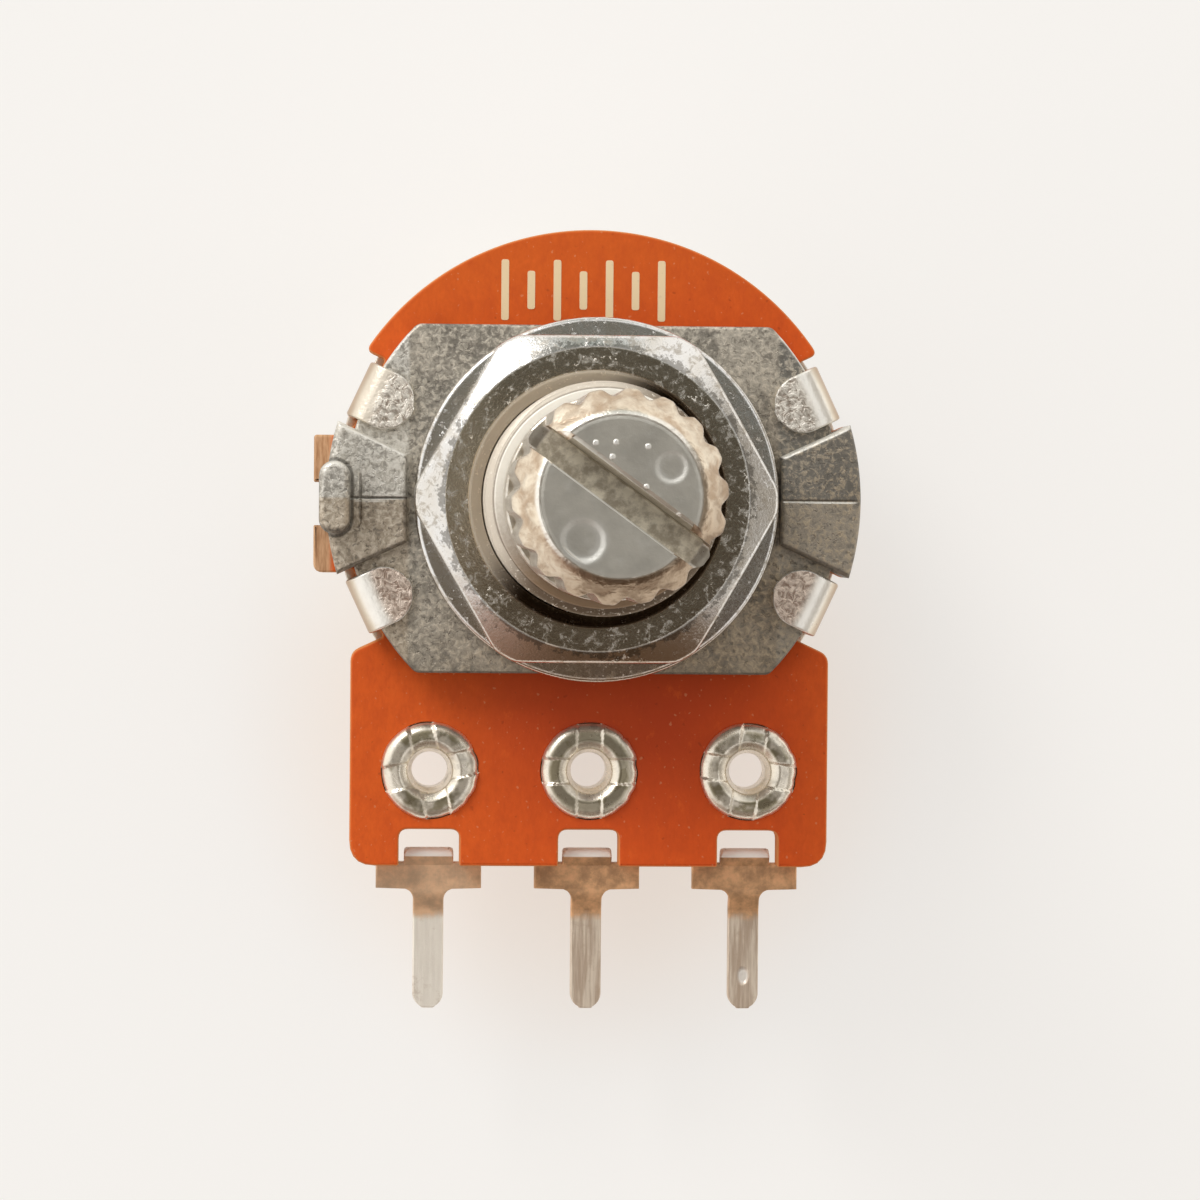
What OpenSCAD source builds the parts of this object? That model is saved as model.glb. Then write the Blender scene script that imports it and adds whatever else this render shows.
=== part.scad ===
// Single-gang carbon-track potentiometer for panel and printed-board mounting.
// The origin is on the shaft's axis, in the plane where the panel seats on the
// front plate. +Z points out along the shaft, and the solder pins point to -Y.

/* [Front plate and bushing] */
// Thickness of the front plate, from the board to the panel's seat
plate_t = 2.0; // [1.6:0.1:3]
// Depth of the plate's low face under the tops of its ears
plate_step = 0.5; // [0.4:0.05:0.7]
// Radius of the plate's round ends
plate_r = 7.7; // [7.4:0.05:7.7]
// Distance across the plate's two flats
plate_flats = 10.8; // [9:0.1:12]
// Outer radius of the two raised ears that the panel seats on
ear_r = 8.27; // [8:0.01:8.6]
// Distance between the ears' inner edges, where the washer lies
ear_gap = 11.55; // [11.5:0.05:11.8]
// Outer diameter of the bushing's thread
bush_d = 7.0; // [7:0.1:8]
// Length of the bushing above the panel's seat
bush_len = 6.0; // [5:0.5:10]
// Chamfer at the mouth of the bushing
bush_chamfer = 0.15; // [0.1:0.05:0.5]
// Height of the anti-rotation lug above the panel's seat
lug_h = 1.3; // [0.6:0.1:2]
// Length of the lug, across the ear
lug_len = 2.25; // [1.6:0.05:2.6]
// Thickness of the lug, along the ear
lug_w = 0.95; // [0.7:0.05:1.2]
// Distance from the shaft's axis to the middle of the lug
lug_x = 8.0; // [7.6:0.05:8.2]

/* [Shaft] */
// Length of the shaft above the panel's seat
shaft_len = 15; // [13:0.5:30]
// Diameter of the shaft's head, over the knurl
head_d = 6.0; // [5.8:0.05:6.35]
// Diameter of the shaft inside the bushing
journal_d = 4.5; // [4:0.1:4.6]
// Length of the plain collar below the knurl
collar_len = 2.0; // [1:0.25:4]
// Number of teeth of the knurl
knurl_teeth = 18; // [12:1:40]
// Depth of the knurl's teeth
knurl_depth = 0.28; // [0.1:0.02:0.4]
// Diameter of the flat end of the shaft
tip_d = 4.65; // [4.2:0.05:5.2]
// Height of the chamfer at the shaft's end
tip_h = 0.75; // [0.4:0.05:1.2]
// Width of the screwdriver slot
slot_w = 0.78; // [0.5:0.02:1.2]
// Depth of the screwdriver slot
slot_depth = 1.2; // [0.6:0.1:4]
// Direction of the slot at mid travel, from the X axis
slot_turn = -36; // [-90:1:90]

/* [Nut and washer] */
// Distance across the nut's flats
nut_flats = 10; // [9:0.5:11]
// Thickness of the nut
nut_t = 2.0; // [1.6:0.1:2.6]
// Diameter of the bar that the nut is turned from, which rounds its corners
nut_bar_d = 11.15; // [10.2:0.05:11.5]
// Diameter of the round face left by the nut's chamfer
nut_face_d = 9.3; // [8.6:0.1:9.6]
// Angle of the nut's chamfer
nut_chamfer = 30; // [15:5:35]
// Outer diameter of the washer
washer_d = 11.3; // [11:0.05:11.3]
// Thickness of the washer
washer_t = 0.5; // [0.3:0.1:0.8]
// How far the loose washer lies to one side of the axis
washer_shift = 0.1; // [0:0.01:0.1]

/* [Circuit board] */
// Thickness of the phenolic board
board_t = 1.0; // [0.8:0.1:1.6]
// Radius of the board's round end
board_r = 8.45; // [8.3:0.05:8.8]
// Width of the board's straight part
board_w = 15; // [14.6:0.1:16]
// Distance from the shaft's axis to the board's lower edge
board_low = 11.5; // [11.3:0.1:13]
// Radius of the board's two lower corners
corner_r = 0.8; // [0.3:0.1:1]
// Width of the notches in the lower edge
notch_w = 1.9; // [1.8:0.05:2.2]
// Depth of the notches in the lower edge
notch_depth = 1.15; // [0.9:0.05:1.2]
// Middle radius of the carbon track
track_r = 5.0; // [4.9:0.05:5.05]
// Width of the carbon track
track_w = 1.1; // [0.8:0.1:1.1]
// Angle that the carbon track covers
track_angle = 300; // [270:5:310]

/* [Terminals and eyelets] */
// Distance between neighbouring terminals
pitch = 5; // [4.8:0.05:5]
// Distance from the shaft's axis to the row of eyelets
eyelet_y = 8.5; // [8.5:0.05:8.6]
// Outer diameter of the eyelets' front flanges
eyelet_d = 3.1; // [2.9:0.05:3.3]
// Diameter of the eyelets' hole at its narrow end
eyelet_hole = 1.13; // [0.8:0.01:1.3]
// Diameter of the eyelets' funnel at the front
funnel_d = 1.85; // [1.5:0.05:2]
// Thickness of the terminals' sheet
sheet_t = 0.4; // [0.3:0.05:0.5]
// Width of the terminals' shoulders
shoulder_w = 3.33; // [3.2:0.01:3.6]
// Height of the terminals' shoulders below the board
shoulder_h = 0.78; // [0.5:0.01:1]
// Width of the solder pins
pin_w = 0.97; // [0.8:0.01:1.1]
// Distance from the shaft's axis to the pins' ends
pin_low = 16.1; // [15:0.1:20]

/* [Cover] */
// Distance from the panel's seat to the back of the cover
body_depth = 9; // [8.6:0.1:11]
// Outer radius of the cover
cover_r = 8.05; // [8.05:0.01:8.1]
// Thickness of the cover's sheet
cover_t = 0.3; // [0.2:0.05:0.35]
// Radius of the drawn edge round the cover's back
cover_edge = 0.7; // [0.5:0.1:1]
// Distance from the shaft's axis to the cover's flat side
cover_flat = 6.3; // [6.2:0.05:6.4]
// Direction of the folded tabs, from the X axis
tab_turn = 25; // [23:0.5:27]
// Width of the folded tabs
tab_w = 1.8; // [1.5:0.05:1.9]
// Distance from the shaft's axis to the tabs' folded ends
tab_reach = 6.25; // [6.1:0.05:6.6]

/* [Travel] */
// Angle that the shaft turns between its stops
travel = 300; // [270:5:300]

/* [Hidden] */
$fn = 96;

// Running gap of the shaft in the bushing, and of the nut on its thread
run_gap = 0.02;
thread_gap = 0.03;
// Gap between pieces that are fixed together
fit_gap = 0.01;
// Overrun of a cut past the face that it opens
cut = 1;

// Heights, from the panel's seat
plate_back = -plate_t;
low_face = -plate_step;
board_back = plate_back - board_t;
film_t = 0.05;
film_back = board_back - film_t;
cover_back = -body_depth;
cover_floor = cover_back + cover_t;
nut_z = low_face + washer_t;

// Half-width of the channels that the tabs lie in
channel_half = tab_w / 2 + 0.3;
// Board's edge behind the left ear: how far it is set back, and the two prongs that stand out
// of it, with the lug's notch between them
board_side = 7.9;
prong_reach = board_r + 0.23;
prong_half = 2.15;
prong_y = -0.18;
back_notch = [2, 1.35];
// Round corners between the tabs' channels and the board's straight sides
shoulder_r = 0.45;
shoulder_y = -(channel_half + board_w / 2 * sin(tab_turn)) / cos(tab_turn);

// Retaining ring, in a recess in the plate's back
ring_r = 3.2;
ring_t = 0.5;
ring_gap_angle = 70;
recess_r = 3.4;
recess_h = 0.6;
groove_r = 1.8;

// Spigot of the shaft, and the rotor that is riveted on it
board_bore_r = 2.6;
spigot_r = 1.7;
spigot_flats = 2.6;
spigot_top = board_back + 0.35;
hub_low = cover_floor + 1.1;
rivet_r = 2.15;
rivet_h = 0.35;
rotor_face = board_back - 1.2;
rotor_t = 1.2;
rotor_r = cover_flat - cover_t - 0.25;
hub_r = 3.0;
boss_r = 2.4;

// Stops: a rib on the rotor meets a tongue lanced out of the cover's back
stop_w = 2.4;
stop_y = rotor_r - 0.35;
stop_top = rotor_face - rotor_t - 0.4;
rib_depth = 1.5;
stop_half = asin(stop_w / 2 / (stop_y - cover_t));
rib_half = (360 - travel) / 2 - stop_half - 0.5;

// Wiper and collector
wiper_t = 0.2;
wiper_w = 0.8;
contact_gap = 0.02;
contact_r = 0.25;
collector_r = 3.4;
collector_w = 1.0;
lead_w = 1.2;

// Eyelets and terminals
terminal_x = [-pitch, 0, pitch];
eyelet_bore_r = 1.15;
flange_t = 0.28;
rear_flange_r = 1.5;
rear_flange_t = 0.2;
band_w = 0.78;
band_depth = 0.06;
terminal_face = film_back;
terminal_back = terminal_face - sheet_t;
plate_half = 1.45;
tongue_w = 1.6;
tongue_len = 0.5;
tongue_lean = 28;
window_w = notch_w + 0.1;
pin_set = 0.3;
pin_root = board_low + shoulder_h;

// Turn of each eyelet's pressed cross
eyelet_turn = [12, 0, -8];

// Bar with round ends, in the plane: its length along Y is measured over the ends
module obround(len, w) {
    square([w, len - w], center = true);
    for (side = [-1, 1])
        translate([0, side * (len - w) / 2])
            circle(d = w);
}

// Pie slice with its point on the axis, open to +X
module slice(half_angle, reach) {
    polygon([
        [0, 0],
        [reach, -reach * tan(half_angle)],
        [reach, reach * tan(half_angle)]
    ]);
}

// Repeats its children at the four tabs
module at_tabs() {
    for (turn = [tab_turn, 180 - tab_turn, 180 + tab_turn, -tab_turn])
        rotate(turn)
            children();
}

// Outline of one ear: a wedge whose sides run along the tabs' channels, cut off square
// where the washer lies
module ear_outline() {
    apex = channel_half / sin(tab_turn);
    intersection() {
        circle(r = ear_r);
        translate([apex, 0])
            slice(tab_turn, ear_r);
        translate([ear_gap / 2, -ear_r])
            square([ear_r, 2 * ear_r]);
    }
}

module bushing_plate() {
    color([0.62, 0.61, 0.58])
        difference() {
            union() {
                translate([0, 0, plate_back])
                    linear_extrude(plate_t - plate_step)
                        intersection() {
                            circle(r = plate_r);
                            square([4 * plate_r, plate_flats], center = true);
                        }
                translate([0, 0, plate_back])
                    linear_extrude(plate_t) {
                        ear_outline();
                        rotate(180)
                            ear_outline();
                    }
                translate([-lug_x, 0, plate_back])
                    linear_extrude(plate_t + lug_h)
                        obround(lug_len, lug_w);
                translate([0, 0, low_face])
                    cylinder(h = bush_len - low_face - bush_chamfer, d = bush_d);
                translate([0, 0, bush_len - bush_chamfer])
                    cylinder(h = bush_chamfer, d1 = bush_d, d2 = bush_d - 2 * bush_chamfer);
            }
            translate([0, 0, plate_back - cut])
                cylinder(h = plate_t + bush_len + 2 * cut, r = journal_d / 2 + run_gap);
            translate([0, 0, plate_back - cut])
                cylinder(h = recess_h + cut, r = recess_r);
        }
}

module washer() {
    bore_r = bush_d / 2 + 0.15;
    color([0.80, 0.80, 0.78])
        translate([washer_shift, 0, low_face])
            difference() {
                cylinder(h = washer_t, d = washer_d);
                translate([0, 0, -cut])
                    cylinder(h = washer_t + 2 * cut, r = bore_r);
            }
}

module hex_nut() {
    bore_r = bush_d / 2 + thread_gap;
    mouth = 0.35;
    slope = (nut_bar_d - nut_face_d) / 2 * tan(nut_chamfer);
    color([0.86, 0.86, 0.85])
        translate([0, 0, nut_z])
            difference() {
                intersection() {
                    cylinder(h = nut_t, d = nut_flats / cos(30), $fn = 6);
                    rotate(30)
                        rotate_extrude()
                            polygon([
                                [0, 0],
                                [nut_face_d / 2, 0],
                                [nut_bar_d / 2, slope],
                                [nut_bar_d / 2, nut_t - slope],
                                [nut_face_d / 2, nut_t],
                                [0, nut_t]
                            ]);
                }
                translate([0, 0, -cut])
                    cylinder(h = nut_t + 2 * cut, r = bore_r);
                translate([0, 0, nut_t - mouth])
                    cylinder(h = mouth + cut, r1 = bore_r, r2 = bore_r + mouth + cut);
                translate([0, 0, -cut])
                    cylinder(h = mouth + cut, r1 = bore_r + mouth + cut, r2 = bore_r);
            }
}

// Toothed outline of the knurl, with flat-topped teeth
module knurl_outline() {
    tip_r = head_d / 2;
    root_r = tip_r - knurl_depth;
    step = 360 / knurl_teeth;
    polygon([
        for (tooth = [0 : knurl_teeth - 1])
            for (corner = [[-0.14, tip_r], [0.14, tip_r], [0.38, root_r], [0.62, root_r]])
                corner[1] * [cos((tooth + corner[0]) * step), sin((tooth + corner[0]) * step)]
    ]);
}

module shaft() {
    head_z = bush_len + 0.1;
    knurl_z = head_z + collar_len;
    blank_d = head_d + 0.1;
    root_d = head_d - 2 * knurl_depth - 0.1;
    color([0.72, 0.71, 0.68]) {
        difference() {
            union() {
                translate([0, 0, head_z])
                    cylinder(h = collar_len, d = head_d);
                intersection() {
                    rotate(slot_turn)
                        translate([0, 0, knurl_z])
                            linear_extrude(shaft_len - knurl_z)
                                knurl_outline();
                    union() {
                        translate([0, 0, knurl_z])
                            cylinder(h = knurl_depth, d1 = root_d, d2 = blank_d);
                        translate([0, 0, knurl_z + knurl_depth])
                            cylinder(h = shaft_len - tip_h - knurl_z - knurl_depth, d = blank_d);
                        translate([0, 0, shaft_len - tip_h])
                            cylinder(h = tip_h, d1 = blank_d, d2 = tip_d);
                    }
                }
                translate([0, 0, spigot_top])
                    cylinder(h = head_z - spigot_top, d = journal_d);
                intersection() {
                    translate([0, 0, hub_low - rivet_h / 2])
                        cylinder(h = spigot_top - hub_low + rivet_h, r = spigot_r);
                    rotate(slot_turn)
                        translate([0, 0, (hub_low + spigot_top) / 2])
                            cube([2 * spigot_flats, spigot_flats, 2 * (spigot_top - hub_low)], center = true);
                }
                translate([0, 0, hub_low - rivet_h])
                    cylinder(h = rivet_h, r1 = rivet_r - 0.3, r2 = rivet_r);
            }
            rotate(slot_turn)
                translate([-head_d, -slot_w / 2, shaft_len - slot_depth])
                    cube([2 * head_d, slot_w, slot_depth + cut]);
            translate([0, 0, plate_back])
                difference() {
                    cylinder(h = ring_t + 2 * fit_gap, r = journal_d / 2 + cut);
                    translate([0, 0, -cut])
                        cylinder(h = ring_t + 2 * cut, r = groove_r);
                }
        }
    }
}

// Open ring that snaps into the shaft's groove behind the plate
module retaining_ring() {
    color([0.45, 0.45, 0.46])
        translate([0, 0, plate_back + fit_gap])
            linear_extrude(ring_t)
                difference() {
                    circle(r = ring_r);
                    circle(r = groove_r + fit_gap);
                    rotate(-90)
                        slice(ring_gap_angle / 2, ring_r + cut);
                }
}

// Outline of the board: round above, square below, notched for the tabs and terminals
module board_outline() {
    difference() {
        union() {
            circle(r = board_r);
            prong_block();
            translate([-board_w / 2, corner_r - board_low])
                square([board_w, board_low - corner_r]);
            translate([corner_r - board_w / 2, -board_low])
                square([board_w - 2 * corner_r, board_low]);
            for (side = [-1, 1])
                translate([side * (board_w / 2 - corner_r), corner_r - board_low])
                    circle(r = corner_r);
        }
        for (y = [prong_half, -prong_half - 1])
            translate([-board_side - 1, prong_y + y])
                square(1);
        translate([-prong_reach, prong_y])
            square(back_notch, center = true);
        at_tabs()
            translate([plate_r, -channel_half])
                square([2, 2 * channel_half]);
        for (side = [-1, 1])
            shoulder_waste(side);
        for (x = terminal_x)
            translate([x, -board_low])
                board_notch();
    }
}

// What is cut off a shoulder of the board: a wedge round the corner's centre, less the corner
module shoulder_waste(side) {
    centre = [board_w / 2 - shoulder_r, shoulder_y - shoulder_r / tan((90 + tab_turn) / 2)];
    reach = shoulder_r + 1;
    difference() {
        polygon([
            [side * centre.x, centre.y],
            [side * (centre.x + reach), centre.y],
            [side * (centre.x + reach), centre.y + reach],
            [side * (centre.x + reach * sin(tab_turn)), centre.y + reach * cos(tab_turn)]
        ]);
        translate([side * centre.x, centre.y])
            circle(r = shoulder_r);
    }
}

// Block that stands out of the round end, with chamfered corners: the lug's notch parts it
// into two prongs
module prong_block() {
    translate([-prong_reach, prong_y])
        polygon([
            [0, 0.3 - prong_half],
            [0.3, -prong_half],
            [1.2, -prong_half],
            [1.2, prong_half],
            [0.1, prong_half],
            [0, prong_half - 0.1]
        ]);
}

// Notch in the board's lower edge, with round upper corners
module board_notch() {
    r = 0.3;
    translate([-notch_w / 2, -cut])
        square([notch_w, notch_depth - r + cut]);
    translate([r - notch_w / 2, -cut])
        square([notch_w - 2 * r, notch_depth + cut]);
    for (side = [-1, 1])
        translate([side * (notch_w / 2 - r), notch_depth - r])
            circle(r = r);
}

module wafer() {
    color([0.78, 0.33, 0.14])
        translate([0, 0, board_back])
            linear_extrude(board_t)
                difference() {
                    board_outline();
                    circle(r = board_bore_r);
                    for (x = terminal_x)
                        translate([x, -eyelet_y])
                            circle(r = eyelet_bore_r + fit_gap);
                }
}

// Horseshoe of resistive ink on the board's back, open towards the terminals
module carbon_track() {
    color([0.10, 0.10, 0.10])
        translate([0, 0, film_back])
            rotate(track_angle / -2 + 90)
                rotate_extrude(angle = track_angle)
                    translate([track_r - track_w / 2, 0])
                        square([track_w, film_t]);
}

// Straight lead of ink from one point to another
module lead(from, to) {
    run = to - from;
    translate(from)
        rotate(atan2(run[1], run[0]))
            translate([0, -lead_w / 2])
                square([norm(run), lead_w]);
}

// Silver ink: a collector ring with its lead, and a lead at each end of the track
module silver_tracks() {
    end_angle = (360 - track_angle) / 2 - 90;
    end_r = track_r * [cos(end_angle), sin(end_angle)];
    clear = 0.15;
    color([0.75, 0.75, 0.76])
        translate([0, 0, film_back])
            linear_extrude(film_t)
                difference() {
                    union() {
                        circle(r = collector_r + collector_w / 2);
                        lead([0, -collector_r], [0, -eyelet_y]);
                        for (side = [-1, 1])
                            lead([side * end_r[0], end_r[1]], [side * pitch, -eyelet_y]);
                        for (x = terminal_x)
                            translate([x, -eyelet_y])
                                circle(r = rear_flange_r + 0.2);
                    }
                    circle(r = collector_r - collector_w / 2);
                    for (x = terminal_x)
                        translate([x, -eyelet_y])
                            circle(r = eyelet_bore_r + 2 * fit_gap);
                    intersection() {
                        difference() {
                            circle(r = track_r + track_w / 2 + fit_gap);
                            circle(r = track_r - track_w / 2 - clear);
                        }
                        union() {
                            rotate(end_angle)
                                translate([0, fit_gap])
                                    square([board_r, board_r]);
                            rotate(180 - end_angle)
                                translate([0, -fit_gap - board_r])
                                    square([board_r, board_r]);
                        }
                    }
                }
}

// Outline of a terminal's flat part: a round plate, two legs and the shoulders
module terminal_outline() {
    leg_top = board_low - notch_depth - 0.5;
    difference() {
        union() {
            translate([0, -eyelet_y])
                circle(r = plate_half);
            translate([-plate_half, -board_low])
                square([2 * plate_half, board_low - eyelet_y]);
            translate([-shoulder_w / 2, -pin_root])
                square([shoulder_w, shoulder_h]);
        }
        translate([0, -eyelet_y])
            circle(r = eyelet_bore_r + fit_gap);
        translate([-window_w / 2, -board_low])
            square([window_w, board_low - leg_top]);
    }
}

// Solder pin in side view: it steps back behind the shoulders, then runs straight down
module pin_side() {
    step_low = pin_root + 0.75;
    polygon([
        [-pin_root + 0.1, terminal_face],
        [-pin_root, terminal_face],
        [-step_low, terminal_face - pin_set],
        [-pin_low, terminal_face - pin_set],
        [-pin_low, terminal_back - pin_set],
        [-step_low, terminal_back - pin_set],
        [-pin_root, terminal_back],
        [-pin_root + 0.1, terminal_back]
    ]);
}

// Solder pin in front view: round at the end, with a fillet at each side of the root
module pin_front() {
    fillet = 0.3;
    translate([-pin_w / 2, pin_w / 2 - pin_low])
        square([pin_w, pin_low - pin_w / 2]);
    translate([0, pin_w / 2 - pin_low])
        circle(r = pin_w / 2);
    for (side = [-1, 1])
        difference() {
            translate([side * (pin_w + fillet) / 2, -pin_root - fillet / 2])
                square(fillet, center = true);
            translate([side * (pin_w / 2 + fillet), -pin_root - fillet])
                circle(r = fillet);
        }
}

// Stamped terminal: flat part on the board's back, locking tongue and solder pin
module terminal(x) {
    color([0.70, 0.64, 0.56])
        translate([x, 0, 0]) {
            translate([0, 0, terminal_back])
                linear_extrude(sheet_t)
                    terminal_outline();
            translate([0, -board_low, terminal_back])
                rotate([tongue_lean, 0, 0])
                    translate([-tongue_w / 2, -0.1, 0])
                        cube([tongue_w, tongue_len + 0.1, sheet_t]);
            intersection() {
                rotate([90, 0, 90])
                    translate([0, 0, -shoulder_w / 2])
                        linear_extrude(shoulder_w)
                            pin_side();
                translate([0, 0, terminal_back - 2 * pin_set])
                    linear_extrude(sheet_t + 4 * pin_set)
                        pin_front();
            }
        }
}

// Riveted eyelet: funnel-shaped hole, front flange with a pressed cross, rolled back end
module eyelet(x, turn) {
    front = plate_back + flange_t;
    narrow = board_back + 0.3;
    rear = terminal_back - rear_flange_t;
    color([0.84, 0.83, 0.80])
        translate([x, -eyelet_y, 0])
            difference() {
                rotate_extrude()
                    polygon([
                        [eyelet_hole / 2, rear],
                        [rear_flange_r - 0.1, rear],
                        [rear_flange_r, rear + 0.1],
                        [rear_flange_r, terminal_back],
                        [eyelet_bore_r, terminal_back],
                        [eyelet_bore_r, plate_back],
                        [eyelet_d / 2, plate_back],
                        [eyelet_d / 2, front - 0.12],
                        [eyelet_d / 2 - 0.12, front],
                        [funnel_d / 2, front],
                        [eyelet_hole / 2, narrow]
                    ]);
                for (quarter = [0, 90])
                    rotate(turn + quarter)
                        translate([-eyelet_d, -band_w / 2, front - band_depth])
                            cube([2 * eyelet_d, band_w, cut]);
            }
}

// Moulded carrier, riveted on the shaft, with the stop rib on its back
module rotor() {
    color([0.13, 0.13, 0.14])
        difference() {
            union() {
                translate([0, 0, rotor_face - rotor_t])
                    cylinder(h = rotor_t, r = rotor_r);
                translate([0, 0, hub_low])
                    cylinder(h = rotor_face - hub_low, r = hub_r);
                translate([0, 0, rotor_face])
                    cylinder(h = spigot_top - rotor_face, r = boss_r);
                translate([0, 0, rotor_face - rotor_t - rib_depth])
                    rotate(90 - rib_half)
                        rotate_extrude(angle = 2 * rib_half)
                            translate([hub_r + 1, 0])
                                square([rotor_r - hub_r - 1, rib_depth]);
            }
            intersection() {
                translate([0, 0, hub_low - cut])
                    cylinder(h = spigot_top - hub_low + 2 * cut, r = spigot_r + fit_gap);
                rotate(slot_turn)
                    translate([0, 0, (hub_low + spigot_top) / 2])
                        cube([
                            2 * spigot_flats,
                            spigot_flats + 2 * fit_gap,
                            spigot_top - hub_low + 2 * cut
                        ], center = true);
            }
        }
}

// One spring arm: a bar out from the wiper's ring, then a strip that runs along X and
// rises from the rotor's face to a rounded contact over the middle of its ink ring
module wiper_arm(reach) {
    contact_z = contact_r + rotor_face;
    rise = film_back - contact_gap - 2 * contact_r - rotor_face;
    run = 1.3;
    translate([run, boss_r - 0.4, rotor_face])
        cube([wiper_w, reach - boss_r + 0.4 + wiper_w / 2, wiper_t]);
    translate([0, reach + wiper_w / 2, rotor_face])
        rotate([90, 0, 0])
            linear_extrude(wiper_w) {
                polygon([
                    [run + 0.1, 0],
                    [run, 0],
                    [0, rise + contact_r - wiper_t / 2],
                    [0, rise + contact_r + wiper_t / 2],
                    [run, wiper_t],
                    [run + 0.1, wiper_t]
                ]);
                translate([0, rise + contact_r])
                    circle(r = contact_r);
            }
}

// Sprung contact: a ring round the rotor's boss with an arm over each ink ring
module wiper_spring() {
    color([0.78, 0.58, 0.30]) {
        translate([0, 0, rotor_face])
            difference() {
                cylinder(h = wiper_t, r = boss_r + 0.7);
                translate([0, 0, -cut])
                    cylinder(h = wiper_t + 2 * cut, r = boss_r + fit_gap);
            }
        difference() {
            union() {
                wiper_arm(track_r);
                rotate(180)
                    wiper_arm(collector_r);
            }
            translate([0, 0, rotor_face - cut])
                cylinder(h = wiper_t + 2 * cut, r = boss_r + fit_gap);
        }
    }
}

// Solid in the shape of the cover's inside or outside: a round cup with one flat side
module cup_form(r, flat_y, low, high, edge) {
    intersection() {
        rotate_extrude()
            cup_profile(r, low, high, edge);
        rotate([90, 0, 90])
            translate([0, 0, -r])
                linear_extrude(2 * r)
                    mirror([1, 0])
                        union() {
                            translate([-r, low])
                                square([r, high - low]);
                            cup_profile(flat_y, low, high, edge);
                        }
    }
}

// Half section of a cup: a square top and a round lower corner
module cup_profile(r, low, high, edge) {
    translate([0, low])
        square([r - edge, high - low]);
    translate([0, low + edge])
        square([r, high - low - edge]);
    translate([r - edge, low + edge])
        circle(r = edge);
}

// Folded tab, lying along +X: it rises from the cover's rim and turns in over the plate
module tab() {
    fold = 0.1;
    inner = cover_r - cover_t;
    top = low_face + cover_t;
    translate([inner, -tab_w / 2, board_back])
        cube([cover_t, tab_w, low_face - fold - board_back]);
    translate([inner - fold, tab_w / 2, low_face - fold])
        rotate([90, 0, 0])
            linear_extrude(tab_w)
                intersection() {
                    difference() {
                        circle(r = fold + cover_t);
                        circle(r = fold);
                    }
                    square(fold + cover_t);
                }
    translate([0, 0, low_face])
        linear_extrude(cover_t) {
            translate([tab_reach + tab_w / 2, -tab_w / 2])
                square([inner - fold - tab_reach - tab_w / 2, tab_w]);
            translate([tab_reach + tab_w / 2, 0])
                circle(d = tab_w);
        }
}

module rear_cover() {
    lead_gap = 0.35;
    window_len = stop_top - cover_back;
    color([0.82, 0.80, 0.76]) {
        difference() {
            cup_form(cover_r, cover_flat, cover_back, board_back, cover_edge);
            cup_form(
                cover_r - cover_t, cover_flat - cover_t, cover_floor, board_back + cut, cover_edge - cover_t
            );
            translate([-board_r, -cover_flat - cut, board_back - lead_gap])
                cube([2 * board_r, cover_t + cut + 0.2, cut + lead_gap]);
            translate([-stop_w / 2, -stop_y, cover_back - cut])
                cube([stop_w, window_len, cover_t + 2 * cut]);
        }
        translate([-stop_w / 2, -stop_y - cover_t, cover_back])
            cube([stop_w, cover_t, window_len]);
        at_tabs()
            tab();
    }
}

bushing_plate();
washer();
hex_nut();
shaft();
retaining_ring();
wafer();
carbon_track();
silver_tracks();
terminal(terminal_x[0]);  // terminal_left
terminal(terminal_x[1]);  // terminal_centre
terminal(terminal_x[2]);  // terminal_right
eyelet(terminal_x[0], eyelet_turn[0]);  // eyelet_left
eyelet(terminal_x[1], eyelet_turn[1]);  // eyelet_centre
eyelet(terminal_x[2], eyelet_turn[2]);  // eyelet_right
rotor();
wiper_spring();
rear_cover();
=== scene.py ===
import math

import bpy
import numpy as np
from bpy.props import FloatProperty, FloatVectorProperty, IntProperty, PointerProperty
from bpy.types import Operator, Panel, PropertyGroup
from mathutils import Matrix, Vector
from mathutils.geometry import tessellate_polygon


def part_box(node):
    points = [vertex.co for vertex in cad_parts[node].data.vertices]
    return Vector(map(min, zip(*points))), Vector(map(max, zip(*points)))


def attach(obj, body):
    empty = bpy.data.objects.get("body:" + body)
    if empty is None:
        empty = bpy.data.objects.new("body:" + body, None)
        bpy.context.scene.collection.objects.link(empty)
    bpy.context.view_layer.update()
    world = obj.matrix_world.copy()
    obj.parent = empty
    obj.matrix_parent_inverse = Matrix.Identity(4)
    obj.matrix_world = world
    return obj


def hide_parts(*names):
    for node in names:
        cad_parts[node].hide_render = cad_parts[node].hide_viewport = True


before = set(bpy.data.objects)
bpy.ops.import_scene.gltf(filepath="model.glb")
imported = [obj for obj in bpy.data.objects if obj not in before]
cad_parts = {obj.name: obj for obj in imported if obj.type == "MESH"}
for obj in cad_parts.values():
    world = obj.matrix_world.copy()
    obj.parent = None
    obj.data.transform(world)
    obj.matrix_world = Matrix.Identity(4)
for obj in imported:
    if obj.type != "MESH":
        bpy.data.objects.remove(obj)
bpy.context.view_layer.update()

bl_info = {
    "name": "Single-gang potentiometer",
    "version": (1, 0, 0),
    "blender": (4, 5, 0),
    "location": "3D View > Sidebar > Potentiometer",
    "description": "Dresses a potentiometer's solids: casting, nut, washer, shaft, board, contacts, cover",
    "category": "Object",
}

MM = 1000.0
TURN = 2 * math.pi
QUARTER = math.pi / 2
TAB_TURN = 25      # direction of the folded tabs from the X axis, in degrees
THREAD_DEPTH = 0.6134  # depth of a thread, in pitches
BARREL = 1.16      # radius of the holes that the eyelets' barrels pass through


# ---------------------------------------------------------------- sizes and colours

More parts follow.
